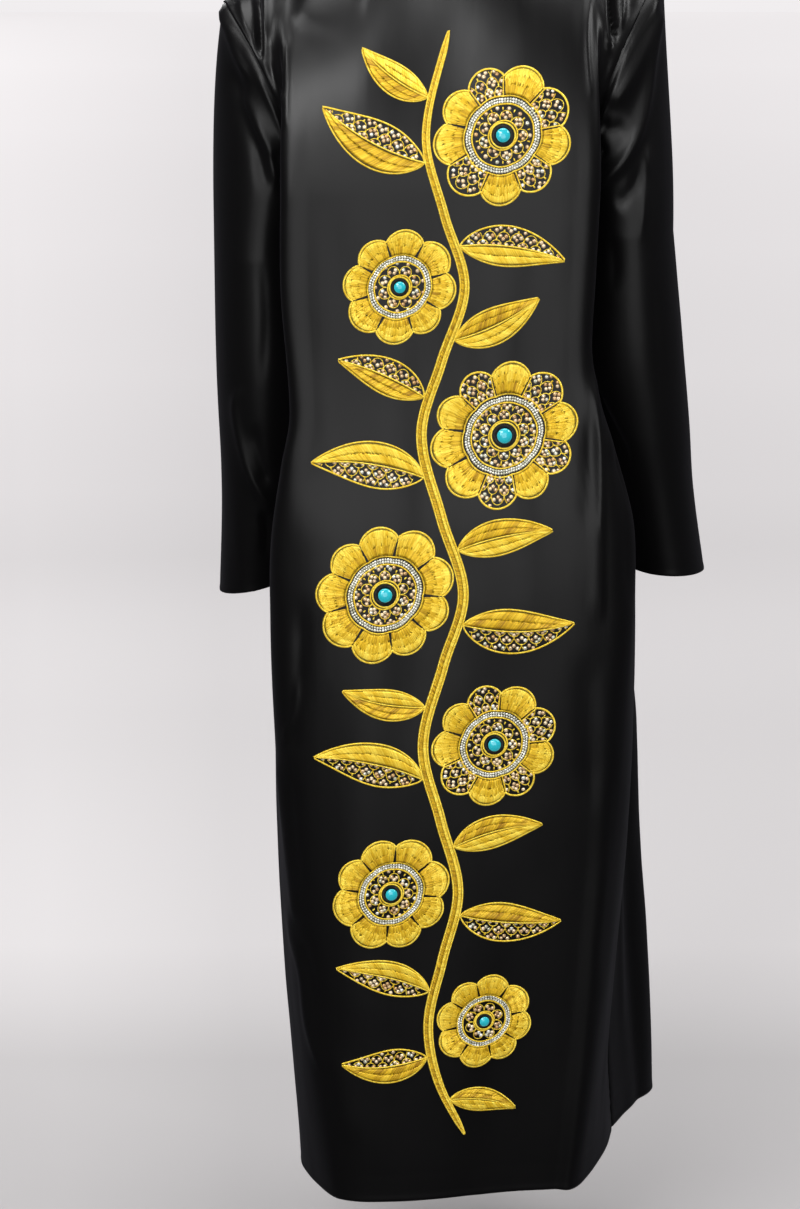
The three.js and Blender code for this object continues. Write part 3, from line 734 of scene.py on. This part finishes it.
sleeveSpec = {"material": sleeveSatin, "slot": "satin_sleeves", "closed": True, "wave": 1.2, "ripple": 0.3,
              "zero": 0.5, "seams": ("top",), "rolls": [{"at": 11, "width": 6, "height": 1.6}]}
sleeveSpecs = {
    1: {
        **sleeveSpec, "cut": (0.42, 0.64), "cutArea": 0.188, "seed": 41.5, "setIn": -4,
        "seenFolds": listOf(seenColumns, [
            ([(220, 2), (228, 28), (239, 58), (252, 86)], 5, 5, 4.5, 8, 22),
            ([(229, 60), (242, 100), (258, 150), (268, 200)], 8, 7, -3.5, 25, 40),
            ([(240, 88), (256, 126), (269, 151), (279, 192)], 6, 7, 4, 20, 20),
            ([(272, 150), (279, 168), (284, 200)], 5, 5, -3, 10, 20),
            ([(262, 250), (266, 320), (262, 390)], 6, 5, -1.2, 40, 40),
            ([(244, 384), (236, 400), (237, 424), (248, 468), (263, 497), (274, 512)], 5, 3.5, 3.2, 20, 12),
            ([(250, 420), (260, 460), (270, 490)], 7, 7, -3.4, 25, 15),
            ([(262, 508), (268, 530), (266, 566)], 6, 6, -4.5, 15, 25),
            ([(236, 500), (240, 540), (244, 592)], 9, 9, 1.8, 40, 0),
        ]),
        "folds": listOf(foldColumns, [
            ([(-330, 0.70), (-430, 0.78), (-520, 0.74)], 12, -5, 70),
            ([(-200, 0.66), (-300, 0.70), (-380, 0.68)], 11, 4, 70),
            ([(-300, 0.96), (-420, 0.90), (-480, 0.86)], 9, -4, 60),
            ([(-480, 0.62), (-560, 0.66), (-640, 0.64)], 12, 3.5, 60),
        ]),
    },
    -1: {
        **sleeveSpec, "cut": (0.42, 0.65), "cutArea": 0.194, "seed": 57.5, "setIn": 4,
        "seenFolds": listOf(seenColumns, [
            ([(641, 0), (624, 42), (606, 88), (598, 110)], 6, 5, -4, 10, 10),
            ([(652, -10), (645, 34), (630, 76), (608, 110)], 9, 9, 6.5, 10, 18),
            ([(597, 122), (612, 130), (632, 124)], 8, 8, -4, 6, 16),
            ([(657, 4), (651, 50), (645, 100), (637, 134), (624, 160), (609, 177), (598, 186)],
             6.5, 6, 6, 16, 6),
            ([(595, 138), (600, 147), (606, 156)], 3, 3, -4.5, 3, 5),
            ([(644, 160), (634, 188), (614, 210)], 8, 8, -3.5, 25, 15),
            ([(648, 140), (645, 190), (641, 246)], 4, 5, 2.6, 25, 35),
            ([(608, 230), (613, 262), (612, 300)], 6, 7, -3, 20, 30),
            ([(655, 260), (660, 340), (664, 420)], 6, 6, -1.0, 50, 60),
        ]),
        "folds": listOf(foldColumns, [
            ([(-380, 0.98), (-450, 0.92), (-500, 0.86)], 9, -4, 50),
            ([(-340, 0.30), (-440, 0.22), (-540, 0.28)], 12, -5, 70),
            ([(-220, 0.34), (-310, 0.30), (-400, 0.33)], 11, 4, 70),
        ]),
    },
}
seenFirst = np.concatenate([np.linspace(0, 0.5, 71), np.linspace(0.5, 1, 36)[1:]])
sleeveRows = np.concatenate([np.linspace(0, capShare, 46), np.linspace(capShare, 0.94, 96)[1:],
                             np.linspace(0.94, 1, 16)[1:]])
for side, spec in sleeveSpecs.items():
    hang = sleeveRow(side)
    hand = "left" if side > 0 else "right"
    hangCloth("sleeve_cloth_" + hand, "sleeve_" + hand,
              lambda turn, along: hang(side * 2 * math.pi * turn, along),
              seenFirst if side > 0 else 1 - seenFirst[::-1], sleeveRows, spec)


# needlework: rows of ends, sizes, lift and tint on the flat, laid over the back in joined meshes

def threadShape():
    shape = bmesh.new()
    bmesh.ops.create_uvsphere(shape, u_segments=4, v_segments=3, radius=0.5)
    bmesh.ops.rotate(shape, verts=shape.verts, matrix=Matrix.Rotation(math.pi / 2, 3, "Y"))
    return shape


def sequinShape():
    shape = bmesh.new()
    bmesh.ops.create_cone(shape, cap_ends=False, segments=8, radius1=0.5, radius2=0.15, depth=0.5)
    bmesh.ops.recalc_face_normals(shape, faces=shape.faces)
    bmesh.ops.solidify(shape, geom=shape.faces[:], thickness=0.12)
    return shape


def beadShape():
    shape = bmesh.new()
    bmesh.ops.create_icosphere(shape, subdivisions=3, radius=0.5)
    return shape


threadKinds = {
    "gold": (threadShape, goldThread), "dark": (threadShape, darkThread), "rose": (sequinShape, roseSequin),
    "silver": (sequinShape, silverSequin), "gem": (beadShape, turquoise),
}
dice = np.random.default_rng(7)


def onBack(x, z):
    hit, normal, index, distance = backTree.ray_cast(Vector((x * mm, 0.4, z * mm)), Vector((0, -1, 0)))
    return hit, normal


beadHeight, sequinHeight = 0.46, 0.28


class Needlework:
    def __init__(self, name):
        self.name = name
        self.rows = {kind: [] for kind in threadKinds}

    def stitch(self, start, end, width=1.2, height=1.0, lift=0.5, tint=0.5, kind="gold"):
        self.rows[kind].append((*start, *end, width, height, lift, tint))

    def round(self, kind, at, size, lift=0.8):
        turn = dice.uniform(0, math.pi)
        reach = np.array([math.cos(turn), math.sin(turn)]) * size / 2
        thick = size * (beadHeight if kind == "gem" else sequinHeight)
        self.stitch(at - reach, at + reach, size, thick, lift, dice.uniform(0.1, 1), kind)

    def cord(self, path, width=1.9, pitch=1.25, lift=0.7, tint=0.6, closed=False):
        path = np.array(path, float)
        if closed:
            path = np.vstack([path, path[:1]])
        reach = np.concatenate([[0], np.cumsum(np.linalg.norm(np.diff(path, axis=0), axis=1))])
        for at in np.arange(0, reach[-1], pitch):
            here = np.array([np.interp(at, reach, path[:, k]) for k in (0, 1)])
            ahead = np.array([np.interp(min(at + 0.8, reach[-1]), reach, path[:, k]) for k in (0, 1)])
            way = (ahead - here) / max(np.linalg.norm(ahead - here), 1e-6)
            slant = way * 0.80 + np.array([-way[1], way[0]]) * 0.60
            half = slant * width * 0.78
            self.stitch(here - half, here + half, 1.45, 1.3, lift, tint + dice.uniform(-0.22, 0.22))

    def laid(self, kind):
        frames, kept = [], []
        for row in self.rows[kind]:
            a, b = onBack(row[0], row[1])[0], onBack(row[2], row[3])[0]
            middle, normal = onBack((row[0] + row[2]) / 2, (row[1] + row[3]) / 2)
            if a is None or b is None or middle is None:
                continue
            along = b - a
            if kind in ("rose", "silver"):
                normal = (normal + Vector(dice.normal(0, 0.10, 3))).normalized()
            side = normal.cross(along).normalized()
            up = along.normalized().cross(side).normalized()
            frames.append([list(way) for way in (middle, along, side, up)])
            kept.append(row)
        return np.array(frames), np.array(kept)

    def sew(self, node):
        vertices, corners, totals, tints, kinds, count = [], [], [], [], [], 0
        for number, (kind, (makeShape, material)) in enumerate(threadKinds.items()):
            if not self.rows[kind]:
                continue
            frames, rows = self.laid(kind)
            shape = makeShape()
            shape.verts.ensure_lookup_table()
            form = np.array([vert.co for vert in shape.verts])
            faces = [[vert.index for vert in face.verts] for face in shape.faces]
            shape.free()
            width, height, lift = (rows[:, k, None, None] * mm for k in (4, 5, 6))
            middle, along, side, up = (frames[:, k, None] for k in range(4))
            x, y, z = (form[None, :, k, None] for k in range(3))
            spots = middle + x * along + y * (side * width) + (z * height + lift) * up
            vertices.append(spots.reshape(-1, 3))
            tints.append(np.repeat(np.clip(rows[:, 7], 0, 1), len(form)))
            firsts = count + np.arange(len(rows))[:, None] * len(form)
            corners.append((np.concatenate(faces) + firsts).ravel())
            totals.append(np.tile([len(face) for face in faces], len(rows)))
            kinds.append(np.full(len(rows) * len(faces), number))
            count += len(rows) * len(form)
        self.build(*(np.concatenate(part) for part in (vertices, corners, totals, tints, kinds)), node)

    def build(self, vertices, corners, totals, tints, kinds, node):
        data = bpy.data.meshes.new(self.name)
        data.vertices.add(len(vertices))
        data.vertices.foreach_set("co", vertices.ravel())
        data.loops.add(len(corners))
        data.loops.foreach_set("vertex_index", corners)
        data.polygons.add(len(totals))
        data.polygons.foreach_set("loop_start", np.concatenate([[0], np.cumsum(totals)[:-1]]))
        for makeShape, material in threadKinds.values():
            data.materials.append(material)
        data.polygons.foreach_set("material_index", kinds)
        data.attributes.new("tint", "FLOAT", "POINT").data.foreach_set("value", tints)
        data.update(calc_edges=True)
        data.validate()
        data.shade_smooth()
        piece = bpy.data.objects.new(self.name, data)
        scene.collection.objects.link(piece)
        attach(piece, "root")
        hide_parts(node)
        print("sewn", self.name, "triangles", int((totals - 2).sum()))


def flatPolar(centre, angle, reach):
    return np.array([centre[0] + reach * math.cos(angle), centre[1] + reach * math.sin(angle)])


# a net of scalloped scales on black, each with a few sequins; place takes a turn and a depth in millimetres

sequinPlaces = [(0, 0.30), (-0.23, 0.62), (0.23, 0.62), (0, 0.92)]
scaleLook = {"depth": 1.15, "width": 1.15, "height": 0.9, "lift": 0.45, "tint": 0.62, "silver": 0.16,
             "sequin": (3.9, 4.7)}


def scallopNet(work, rows, place, inside, cellDepth, look):
    for at, count, start, turn in rows:
        for k in range(count):
            middle = start + turn * (k + 0.5)
            marks = [place(middle - turn / 2 * math.cos(t), at + cellDepth * look["depth"] * math.sin(t))
                     for t in np.linspace(0.05, math.pi - 0.05, 11)]
            for a, b in zip(marks, marks[1:]):
                if inside(*a) and inside(*b):
                    reach = (b - a) * 0.14
                    work.stitch(a - reach, b + reach, look["width"], look["height"], look["lift"],
                                look["tint"] + dice.uniform(-0.25, 0.25))
            for across, depth in sequinPlaces[:dice.integers(3, 5)]:
                spot = place(middle + turn * (across + dice.uniform(-0.05, 0.05)), at + cellDepth * depth)
                if inside(*spot):
                    kind = "rose" if dice.random() > look["silver"] else "silver"
                    work.round(kind, spot, dice.uniform(*look["sequin"]))


vine = table("z x halfWidth", [
    [-88, -4, 2.6], [-186, 18, 3.4], [-262, 0, 4], [-332, -20, 4.4], [-405, 2, 4.6], [-478, 22, 4.8],
    [-560, 2, 5], [-636, -20, 5], [-710, 0, 5], [-792, 20, 5], [-870, 2, 5], [-946, -16, 5],
    [-1020, 0, 4.8], [-1088, 14, 4.6], [-1150, 4, 4], [-1212, -24, 2.6],
])


def besideVine(z, side, distance):
    return valueAt(vine, "x", z) + side * (valueAt(vine, "halfWidth", z) + 1 + distance)


blossoms = table("z side radius petals turn netted", [
    [-186, -1, 70, 9, 0.2, 1],
    [-332, 1, 58, 8, 0.5, 0],
    [-478, -1, 76, 10, 0.1, 1],
    [-636, 1, 72, 9, 0.4, 0],
    [-792, -1, 66, 9, 0.3, 1],
    [-946, 1, 62, 8, 0.1, 0],
    [-1088, -1, 52, 8, 0.6, 0],
])
blossomLook = {
    "petalFrom": 0.57, "silverBand": (0.47, 0.55), "netFrom": 0.22, "gem": 0.19, "strand": 0.95,
    "notch": 0.17, "tint": 0.30, "darkStitches": 46,
}


class Blossom:
    def __init__(self, number, look):
        z, side, self.radius, self.petals, self.turn, self.netted = (
            float(blossoms[name][number]) for name in blossoms)
        self.centre = (besideVine(z, side, self.radius), z)
        self.look = look
        self.step = 2 * math.pi / self.petals

    def reach(self, angle, share=1.0):
        depth = 1 - abs(math.sin(self.petals * (angle - self.turn) / 2)) ** 0.7
        notch = self.look["notch"] * share**3 * depth
        return self.radius * share * (1 - notch) * (1 - 0.05 * (1 + math.sin(2 * angle)))

    def at(self, angle, share):
        return flatPolar(self.centre, angle, self.reach(angle, share))

    def ring(self, share, steps=120):
        return [self.at(angle, share) for angle in np.linspace(0, 2 * math.pi, steps, endpoint=False)]


def sewNetPetal(work, flower, middle):
    first, step = flower.look["petalFrom"], flower.step

    def inPetal(x, y):
        dx, dy = x - flower.centre[0], y - flower.centre[1]
        angle = math.atan2(dy, dx)
        aside = abs(math.remainder(angle - middle, 2 * math.pi))
        return math.hypot(dx, dy) < flower.reach(angle) - 1.5 and aside < step / 2 - 0.03

    rows = []
    for k, share in enumerate(np.arange(first - 0.04, 1.0, 10 / flower.radius)):
        count = 3 + k % 2
        rows.append((share * flower.radius, count, middle - step / 2 * count / 3, step / 3))
    scallopNet(work, rows, lambda angle, far: flatPolar(flower.centre, angle, far * 0.97), inPetal, 9.5,
               scaleLook)
    for hand in (-1, 1):
        angle = middle + hand * (step / 2 - 0.02)
        work.cord([flower.at(angle, share) for share in np.linspace(first, 0.98, 12)], width=1.5)


def sewSatinPetal(work, flower, middle, petal):
    first, step = flower.look["petalFrom"], flower.step
    bands = np.linspace(first, 1.0, 4)
    for band, (low, high) in enumerate(zip(bands, bands[1:])):
        strands = int(step * flower.radius * high / flower.look["strand"])
        for k in range(strands):
            across = (k + 0.5) / strands * 2 - 1
            if abs(across) > 0.965:
                continue
            stagger = dice.uniform(-0.035, 0.035)
            start = max(low + stagger - 0.02, first)
            end = min(high + stagger + 0.05, 0.985)
            lean = 0.05 * across * (1.5 - band)
            root = flower.at(middle + (across - lean) * step / 2, start)
            tip = flower.at(middle + across * step / 2, end)
            dome = 1 - across * across
            # painted highlight: stitches along the petal's raised middle are lighter, in streaks; the outer
            # bands are lighter too
            paintedDomeHighlight = 0.22 * dome * (0.5 + 0.5 * math.sin(across * 9 + petal))
            tint = flower.look["tint"] + 0.16 * band + paintedDomeHighlight + dice.uniform(-0.2, 0.2)
            work.stitch(root, tip, 1.3, 1.0, 0.5 + 1.1 * dome, tint)


def sewRings(work, flower):
    look = flower.look
    low, high = look["silverBand"]
    work.cord(flower.ring(1.0, 300), width=2.2, lift=0.9, tint=0.7, closed=True)
    for share in (look["petalFrom"], low - 0.02, look["netFrom"] - 0.01):
        work.cord(flower.ring(share), width=1.7, tint=0.6, closed=True)
    for k, share in enumerate(np.arange(low + 0.015, high, 2.7 / flower.radius)):
        count = int(2 * math.pi * flower.radius * share / 2.75)
        for j in range(count):
            work.round("silver", flower.at((j + 0.5 * (k % 2)) * 2 * math.pi / count, share), 3.0, lift=0.9)


def sewHeart(work, flower):
    centre, radius, look = flower.centre, flower.radius, flower.look
    netTo = look["silverBand"][0]
    rows = []
    for k, far in enumerate(np.arange(look["netFrom"] * radius, (netTo - 0.02) * radius - 3, 9.5)):
        count = max(5, int(round(2 * math.pi * (far + 5) / 13.5)))
        rows.append((far, count, k * math.pi / count, 2 * math.pi / count))
    netEdge = (netTo - 0.03) * radius * 0.93
    scallopNet(work, rows, lambda angle, far: flatPolar(centre, angle, far * 0.95),
               lambda x, y: math.hypot(x - centre[0], y - centre[1]) < netEdge, 8.5, scaleLook)
    gem, dark = look["gem"] * radius, look["darkStitches"]
    work.round("gem", np.array(centre), gem * 1.05, lift=gem * 0.23)
    for k in range(dark):
        angle = k * 2 * math.pi / dark
        start, end = flatPolar(centre, angle, gem * 0.52), flatPolar(centre, angle, gem * 0.80)
        work.stitch(start, end, 1.5, 1.0, 0.6, 0.3, "dark")
    turns = np.linspace(0, 2 * math.pi, 40, endpoint=False)
    work.cord([flatPolar(centre, angle, gem * 0.90) for angle in turns], width=1.8, lift=0.9, tint=0.75,
              closed=True)


def sewBlossom(number, look):
    flower = Blossom(number, look)
    work = Needlework("blossom_%d" % (number + 1))
    for petal in range(int(flower.petals)):
        middle = flower.turn + (petal + 0.5) * flower.step
        if flower.netted and petal % 2 and petal < flower.petals - 1:
            sewNetPetal(work, flower, middle)
        else:
            sewSatinPetal(work, flower, middle, petal)
    sewRings(work, flower)
    sewHeart(work, flower)
    work.sew("embroidered_blossom_%d" % (number + 1))


for number in range(len(blossoms["z"])):
    sewBlossom(number, blossomLook)

leaves = table("z side angle length halfWidth bend netted", [
    [-150, 1, 52, 78, 14, -0.5, 0],
    [-212, 1, 60, 112, 22, -0.5, 1],
    [-292, -1, 100, 104, 19, 0.5, -1],
    [-384, -1, 62, 92, 17, -0.4, 0],
    [-440, 1, 68, 92, 17, 0.4, 1],
    [-520, 1, 84, 112, 22, 0.5, -1],
    [-592, -1, 80, 96, 17, 0.4, 0],
    [-668, -1, 88, 112, 22, -0.5, 1],
    [-752, 1, 76, 84, 15, -0.4, 0],
    [-826, 1, 80, 112, 21, 0.5, -1],
    [-898, -1, 78, 92, 16, 0.4, 0],
    [-972, -1, 94, 104, 20, -0.4, 1],
    [-1052, 1, 76, 98, 17, 0.4, -1],
    [-1124, 1, 92, 88, 17, -0.5, 1],
    [-1172, -1, 104, 70, 12, 0.5, 0],
])
leafLook = {"stations": 8, "strand": 0.95, "lean": 0.13, "longest": 13, "scale": 12.5, "tint": 0.42}


class Leaf:
    def __init__(self, number, look):
        z, side, angle, self.length, self.halfWidth, bend, self.netted = (
            float(leaves[name][number]) for name in leaves)
        self.shares = np.linspace(0, 1, look["stations"] + 1)
        turned = math.radians(angle) + bend * (self.shares - 0.5)
        self.ways = np.stack([side * np.sin(turned), np.cos(turned)], axis=1)
        self.rib = np.vstack([[0, 0], np.cumsum(self.ways[:-1] * self.length / look["stations"], axis=0)])
        self.rib += [besideVine(z, side, 0), z]

    def at(self, share, across):
        share = min(max(share, 0), 1)
        half = 0.5 + self.halfWidth * math.sin(math.pi * share**0.8) ** 0.9
        x, y = (float(smoothCurve(self.shares, self.rib[:, k], share)) for k in (0, 1))
        wayX, wayZ = (float(smoothCurve(self.shares, self.ways[:, k], share)) for k in (0, 1))
        return np.array([x - wayZ * half * across, y + wayX * half * across])


def sewNetHalf(work, leaf, hand, look):
    def place(share, far):
        along = min(max(share, 0.01), 0.99)
        return leaf.at(share, hand * far / max(leaf.halfWidth * math.sin(math.pi * along**0.8) ** 0.9, 3))

    def inHalf(x, y):
        gap = np.linalg.norm(leaf.rib - [x, y], axis=1)
        if gap.min() >= leaf.halfWidth * 1.2 or not 0.05 < leaf.shares[int(np.argmin(gap))] < 0.97:
            return False
        for share in np.linspace(0.04, 0.96, 24):
            a, b = leaf.at(share, 0), leaf.at(share, hand * 0.93)
            if np.linalg.norm(np.array([x, y]) - (a + b) / 2) < np.linalg.norm(b - a) / 2 - 0.4:
                return True
        return False

    cells = int(leaf.length / look["scale"])
    rows = [(k * 8.0 - 4, cells, 0.02 + 0.5 * (k % 2) / cells, 1 / cells) for k in range(3)]
    scallopNet(work, rows, place, inHalf, 8, scaleLook)


def sewSatinHalf(work, leaf, hand, look):
    strands = int(leaf.length * 1.1 / look["strand"])
    for k in range(strands):
        share = (k + 0.5) / strands * 0.97 + 0.005
        root = leaf.at(share - look["lean"] * 0.5, hand * 0.05)
        tip = leaf.at(share + look["lean"] * 0.5, hand * 0.95)
        pieces = max(1, math.ceil(np.linalg.norm(tip - root) / look["longest"]))
        for part in range(pieces):
            start = max(part / pieces + dice.uniform(-0.1, 0.0), 0)
            end = min((part + 1) / pieces + dice.uniform(0.0, 0.12), 1)
            dome = math.sin(math.pi * min((start + end) / 2, 0.9))
            # painted light and shade: one half of the leaf is lighter and the other darker, and stitches are
            # lighter towards the leaf's edge; bands along the leaf vary
            tint = (look["tint"] + 0.14 * hand + 0.22 * (part / pieces) + 0.12 * math.sin(share * 30)
                    + dice.uniform(-0.2, 0.2))
            work.stitch(root + (tip - root) * start, root + (tip - root) * end, 1.3, 1.0,
                        0.5 + 0.9 * dome, tint)


def sewLeaf(number, look):
    leaf = Leaf(number, look)
    work = Needlework("leaf_%d" % (number + 1))
    for hand in (-1, 1):
        if hand == leaf.netted:
            sewNetHalf(work, leaf, hand, look)
        else:
            sewSatinHalf(work, leaf, hand, look)
    work.cord([leaf.at(share, 0) for share in np.linspace(0, 0.97, 40)], width=1.6, lift=1.1, tint=0.75)
    for hand in (-1, 1):
        work.cord([leaf.at(share, hand) for share in np.linspace(0, 1, 60)], width=1.9, lift=0.8, tint=0.65)
    work.sew("embroidered_leaf_%d" % (number + 1))


for number in range(len(leaves["z"])):
    sewLeaf(number, leafLook)

vineLook = {"pitch": 0.95, "slant": 5.0}


def sewVine(look):
    work = Needlework("vine")
    top, foot = float(vine["z"][0]), float(vine["z"][-1])

    def at(z, across):
        way = np.array([valueAt(vine, "x", z - 1) - valueAt(vine, "x", z + 1), -2.0])
        way /= np.linalg.norm(way)
        half = valueAt(vine, "halfWidth", z) * min(1, (min(top - z, z - foot) + 1) / 18) ** 0.6
        return np.array([valueAt(vine, "x", z) - way[1] * half * across, z + way[0] * half * across])

    for z in np.arange(top - 3, foot + 3, -look["pitch"]):
        for low, high, slant in ((-0.84, 0.1, 1), (-0.1, 0.84, -1)):
            # painted light and shade: stitches slanting one way are lighter, those slanting the other way
            # darker
            tint = 0.5 + 0.22 * slant + dice.uniform(-0.22, 0.22)
            a, b = at(z + slant * look["slant"] / 2 * low * 1.2, low), at(z - slant * look["slant"] / 2, high)
            work.stitch(a, b, 1.3, 1.0, 1.0, tint)
    for across in (-0.92, 0.92):
        work.cord([at(z, across) for z in np.linspace(top, foot, 240)], width=1.9, lift=0.8, tint=0.68)
    work.sew("embroidered_vine")


sewVine(vineLook)


# lights, floor and backdrop

studio = {
    "floorZ": -1.46, "paperReach": 400, "paperDepth": 60, "overhead": 3.0, "overheadSpread": 50,
    "fanFrom": 2.9, "fanWidth": 3.57, "evenFar": {1: 1.0, 2: 5.0, 3: 1.0, 4: 0.1},
    "seen": (0.878, 0.852, 0.862, 1), "around": (0.9, 0.92, 1.0, 1), "aroundStrength": 0.034,
    "tint": (1.022, 0.984, 0.993),
    # the floor tones by depth are painted shade: darkest near the coat, lighter far behind it
    "floor": [(0, 0.35), (0.01, 0.338), (0.0124, 0.351), (0.0149, 0.405), (0.0177, 0.464), (0.021, 0.48),
              (0.0276, 0.485), (0.041, 0.484), (0.059, 0.57), (0.086, 0.665), (0.13, 0.745), (0.22, 0.805),
              (0.475, 0.867), (1, 0.91)],
    # painted light and shade across the floor: darker behind the coat, brighter to the left
    "sides": [(0, 0.98), (0.08, 0.97), (0.5, 0.93), (0.76, 0.95), (0.83, 0.99), (0.91, 1.03), (1, 1.07)],
    "lights": (
        ("key", (1.15, 2.95, 1.7), (0.05, 0, -0.35), 1.5, 1.0, 70),
        ("leftHigh", (2.2, 1.2, 2.1), (0.15, 0, -0.1), 0.9, 0.9, 30),
        ("leftSoft", (1.3, 3.0, 0.35), (0.1, 0, -0.3), 0.8, 1.3, 16),
        ("front", (-0.3, 3.3, -0.3), (0, 0, -0.75), 2.2, 2.2, 37),
        ("rightHigh", (-2.6, 0.9, 1.8), (-0.1, 0, -0.1), 1.2, 1.2, 50),
        ("farSide", (0.3, -3.2, 0.9), (0, 0, -0.5), 2.0, 1.4, 24),
    ),
}


def makeFloor(look):
    shade = Shade("studio_floor_painted_shade")
    where = shade.node("ShaderNodeTexCoord").out("Object")
    place = shade.node("ShaderNodeSeparateXYZ", {}, {0: where})
    # painted shade on the floor, darkest near the coat; painted light across it, brighter to the left and
    # fading with distance
    depth = place.out("Y") * (-1 / look["paperDepth"])
    paintedShadeTones = [(at, tuple(grey * c for c in look["tint"])) for at, grey in look["floor"]]
    deep = shade.node("ShaderNodeValToRGB", {"stops": paintedShadeTones}, {0: depth}).out()
    aside = place.out("X") / (look["fanFrom"] - place.out("Y")) * look["fanWidth"] + 0.5
    levels = [(at, (grey,) * 3) for at, grey in look["sides"]]
    sideLight = shade.node("ShaderNodeValToRGB", {"stops": levels}, {0: aside}).out()
    near = shade.node("ShaderNodeMapRange", {}, {0: depth, **look["evenFar"]}).out()
    grey = shade.node("ShaderNodeMix", {"data_type": "RGBA", "blend_type": "MULTIPLY"},
                      {0: near, 6: deep, 7: sideLight}).out(2)
    shade.finish(Base_Color=grey, Roughness=0.9)
    paper = bmesh.new()
    bmesh.ops.create_grid(paper, x_segments=4, y_segments=4, size=look["paperReach"])
    bmesh.ops.translate(paper, verts=paper.verts, vec=(0, 0, look["floorZ"]))
    floor = addPiece("floor", paper, [shade.material])
    floor.visible_glossy = False


def makeWorld(look):
    world = bpy.data.worlds.new("studio")
    world.use_nodes = True
    tree = world.node_tree
    seen = tree.nodes["Background"]
    seen.inputs["Color"].default_value = look["seen"]
    around = tree.nodes.new("ShaderNodeBackground")
    around.inputs["Color"].default_value = look["around"]
    around.inputs["Strength"].default_value = look["aroundStrength"]
    mix, path = tree.nodes.new("ShaderNodeMixShader"), tree.nodes.new("ShaderNodeLightPath")
    tree.links.new(path.outputs["Is Camera Ray"], mix.inputs[0])
    tree.links.new(around.outputs[0], mix.inputs[1])
    tree.links.new(seen.outputs[0], mix.inputs[2])
    tree.links.new(mix.outputs[0], tree.nodes["World Output"].inputs["Surface"])
    scene.world = world


def makeLights(look):
    sun = bpy.data.lights.new("overhead", "SUN")
    sun.energy, sun.angle = look["overhead"], math.radians(look["overheadSpread"])
    scene.collection.objects.link(bpy.data.objects.new("overhead", sun))
    for name, place, aim, width, tall, power in look["lights"]:
        data = bpy.data.lights.new(name, "AREA")
        data.shape, data.size, data.size_y, data.energy = "RECTANGLE", width, tall, power
        lamp = bpy.data.objects.new(name, data)
        lamp.location = place
        lamp.rotation_euler = (Vector(aim) - Vector(place)).to_track_quat("-Z", "Y").to_euler()
        lamp.visible_camera = False
        scene.collection.objects.link(lamp)
    scene.view_settings.view_transform = "Standard"
    print("studio lit")


makeFloor(studio)
makeWorld(studio)
makeLights(studio)
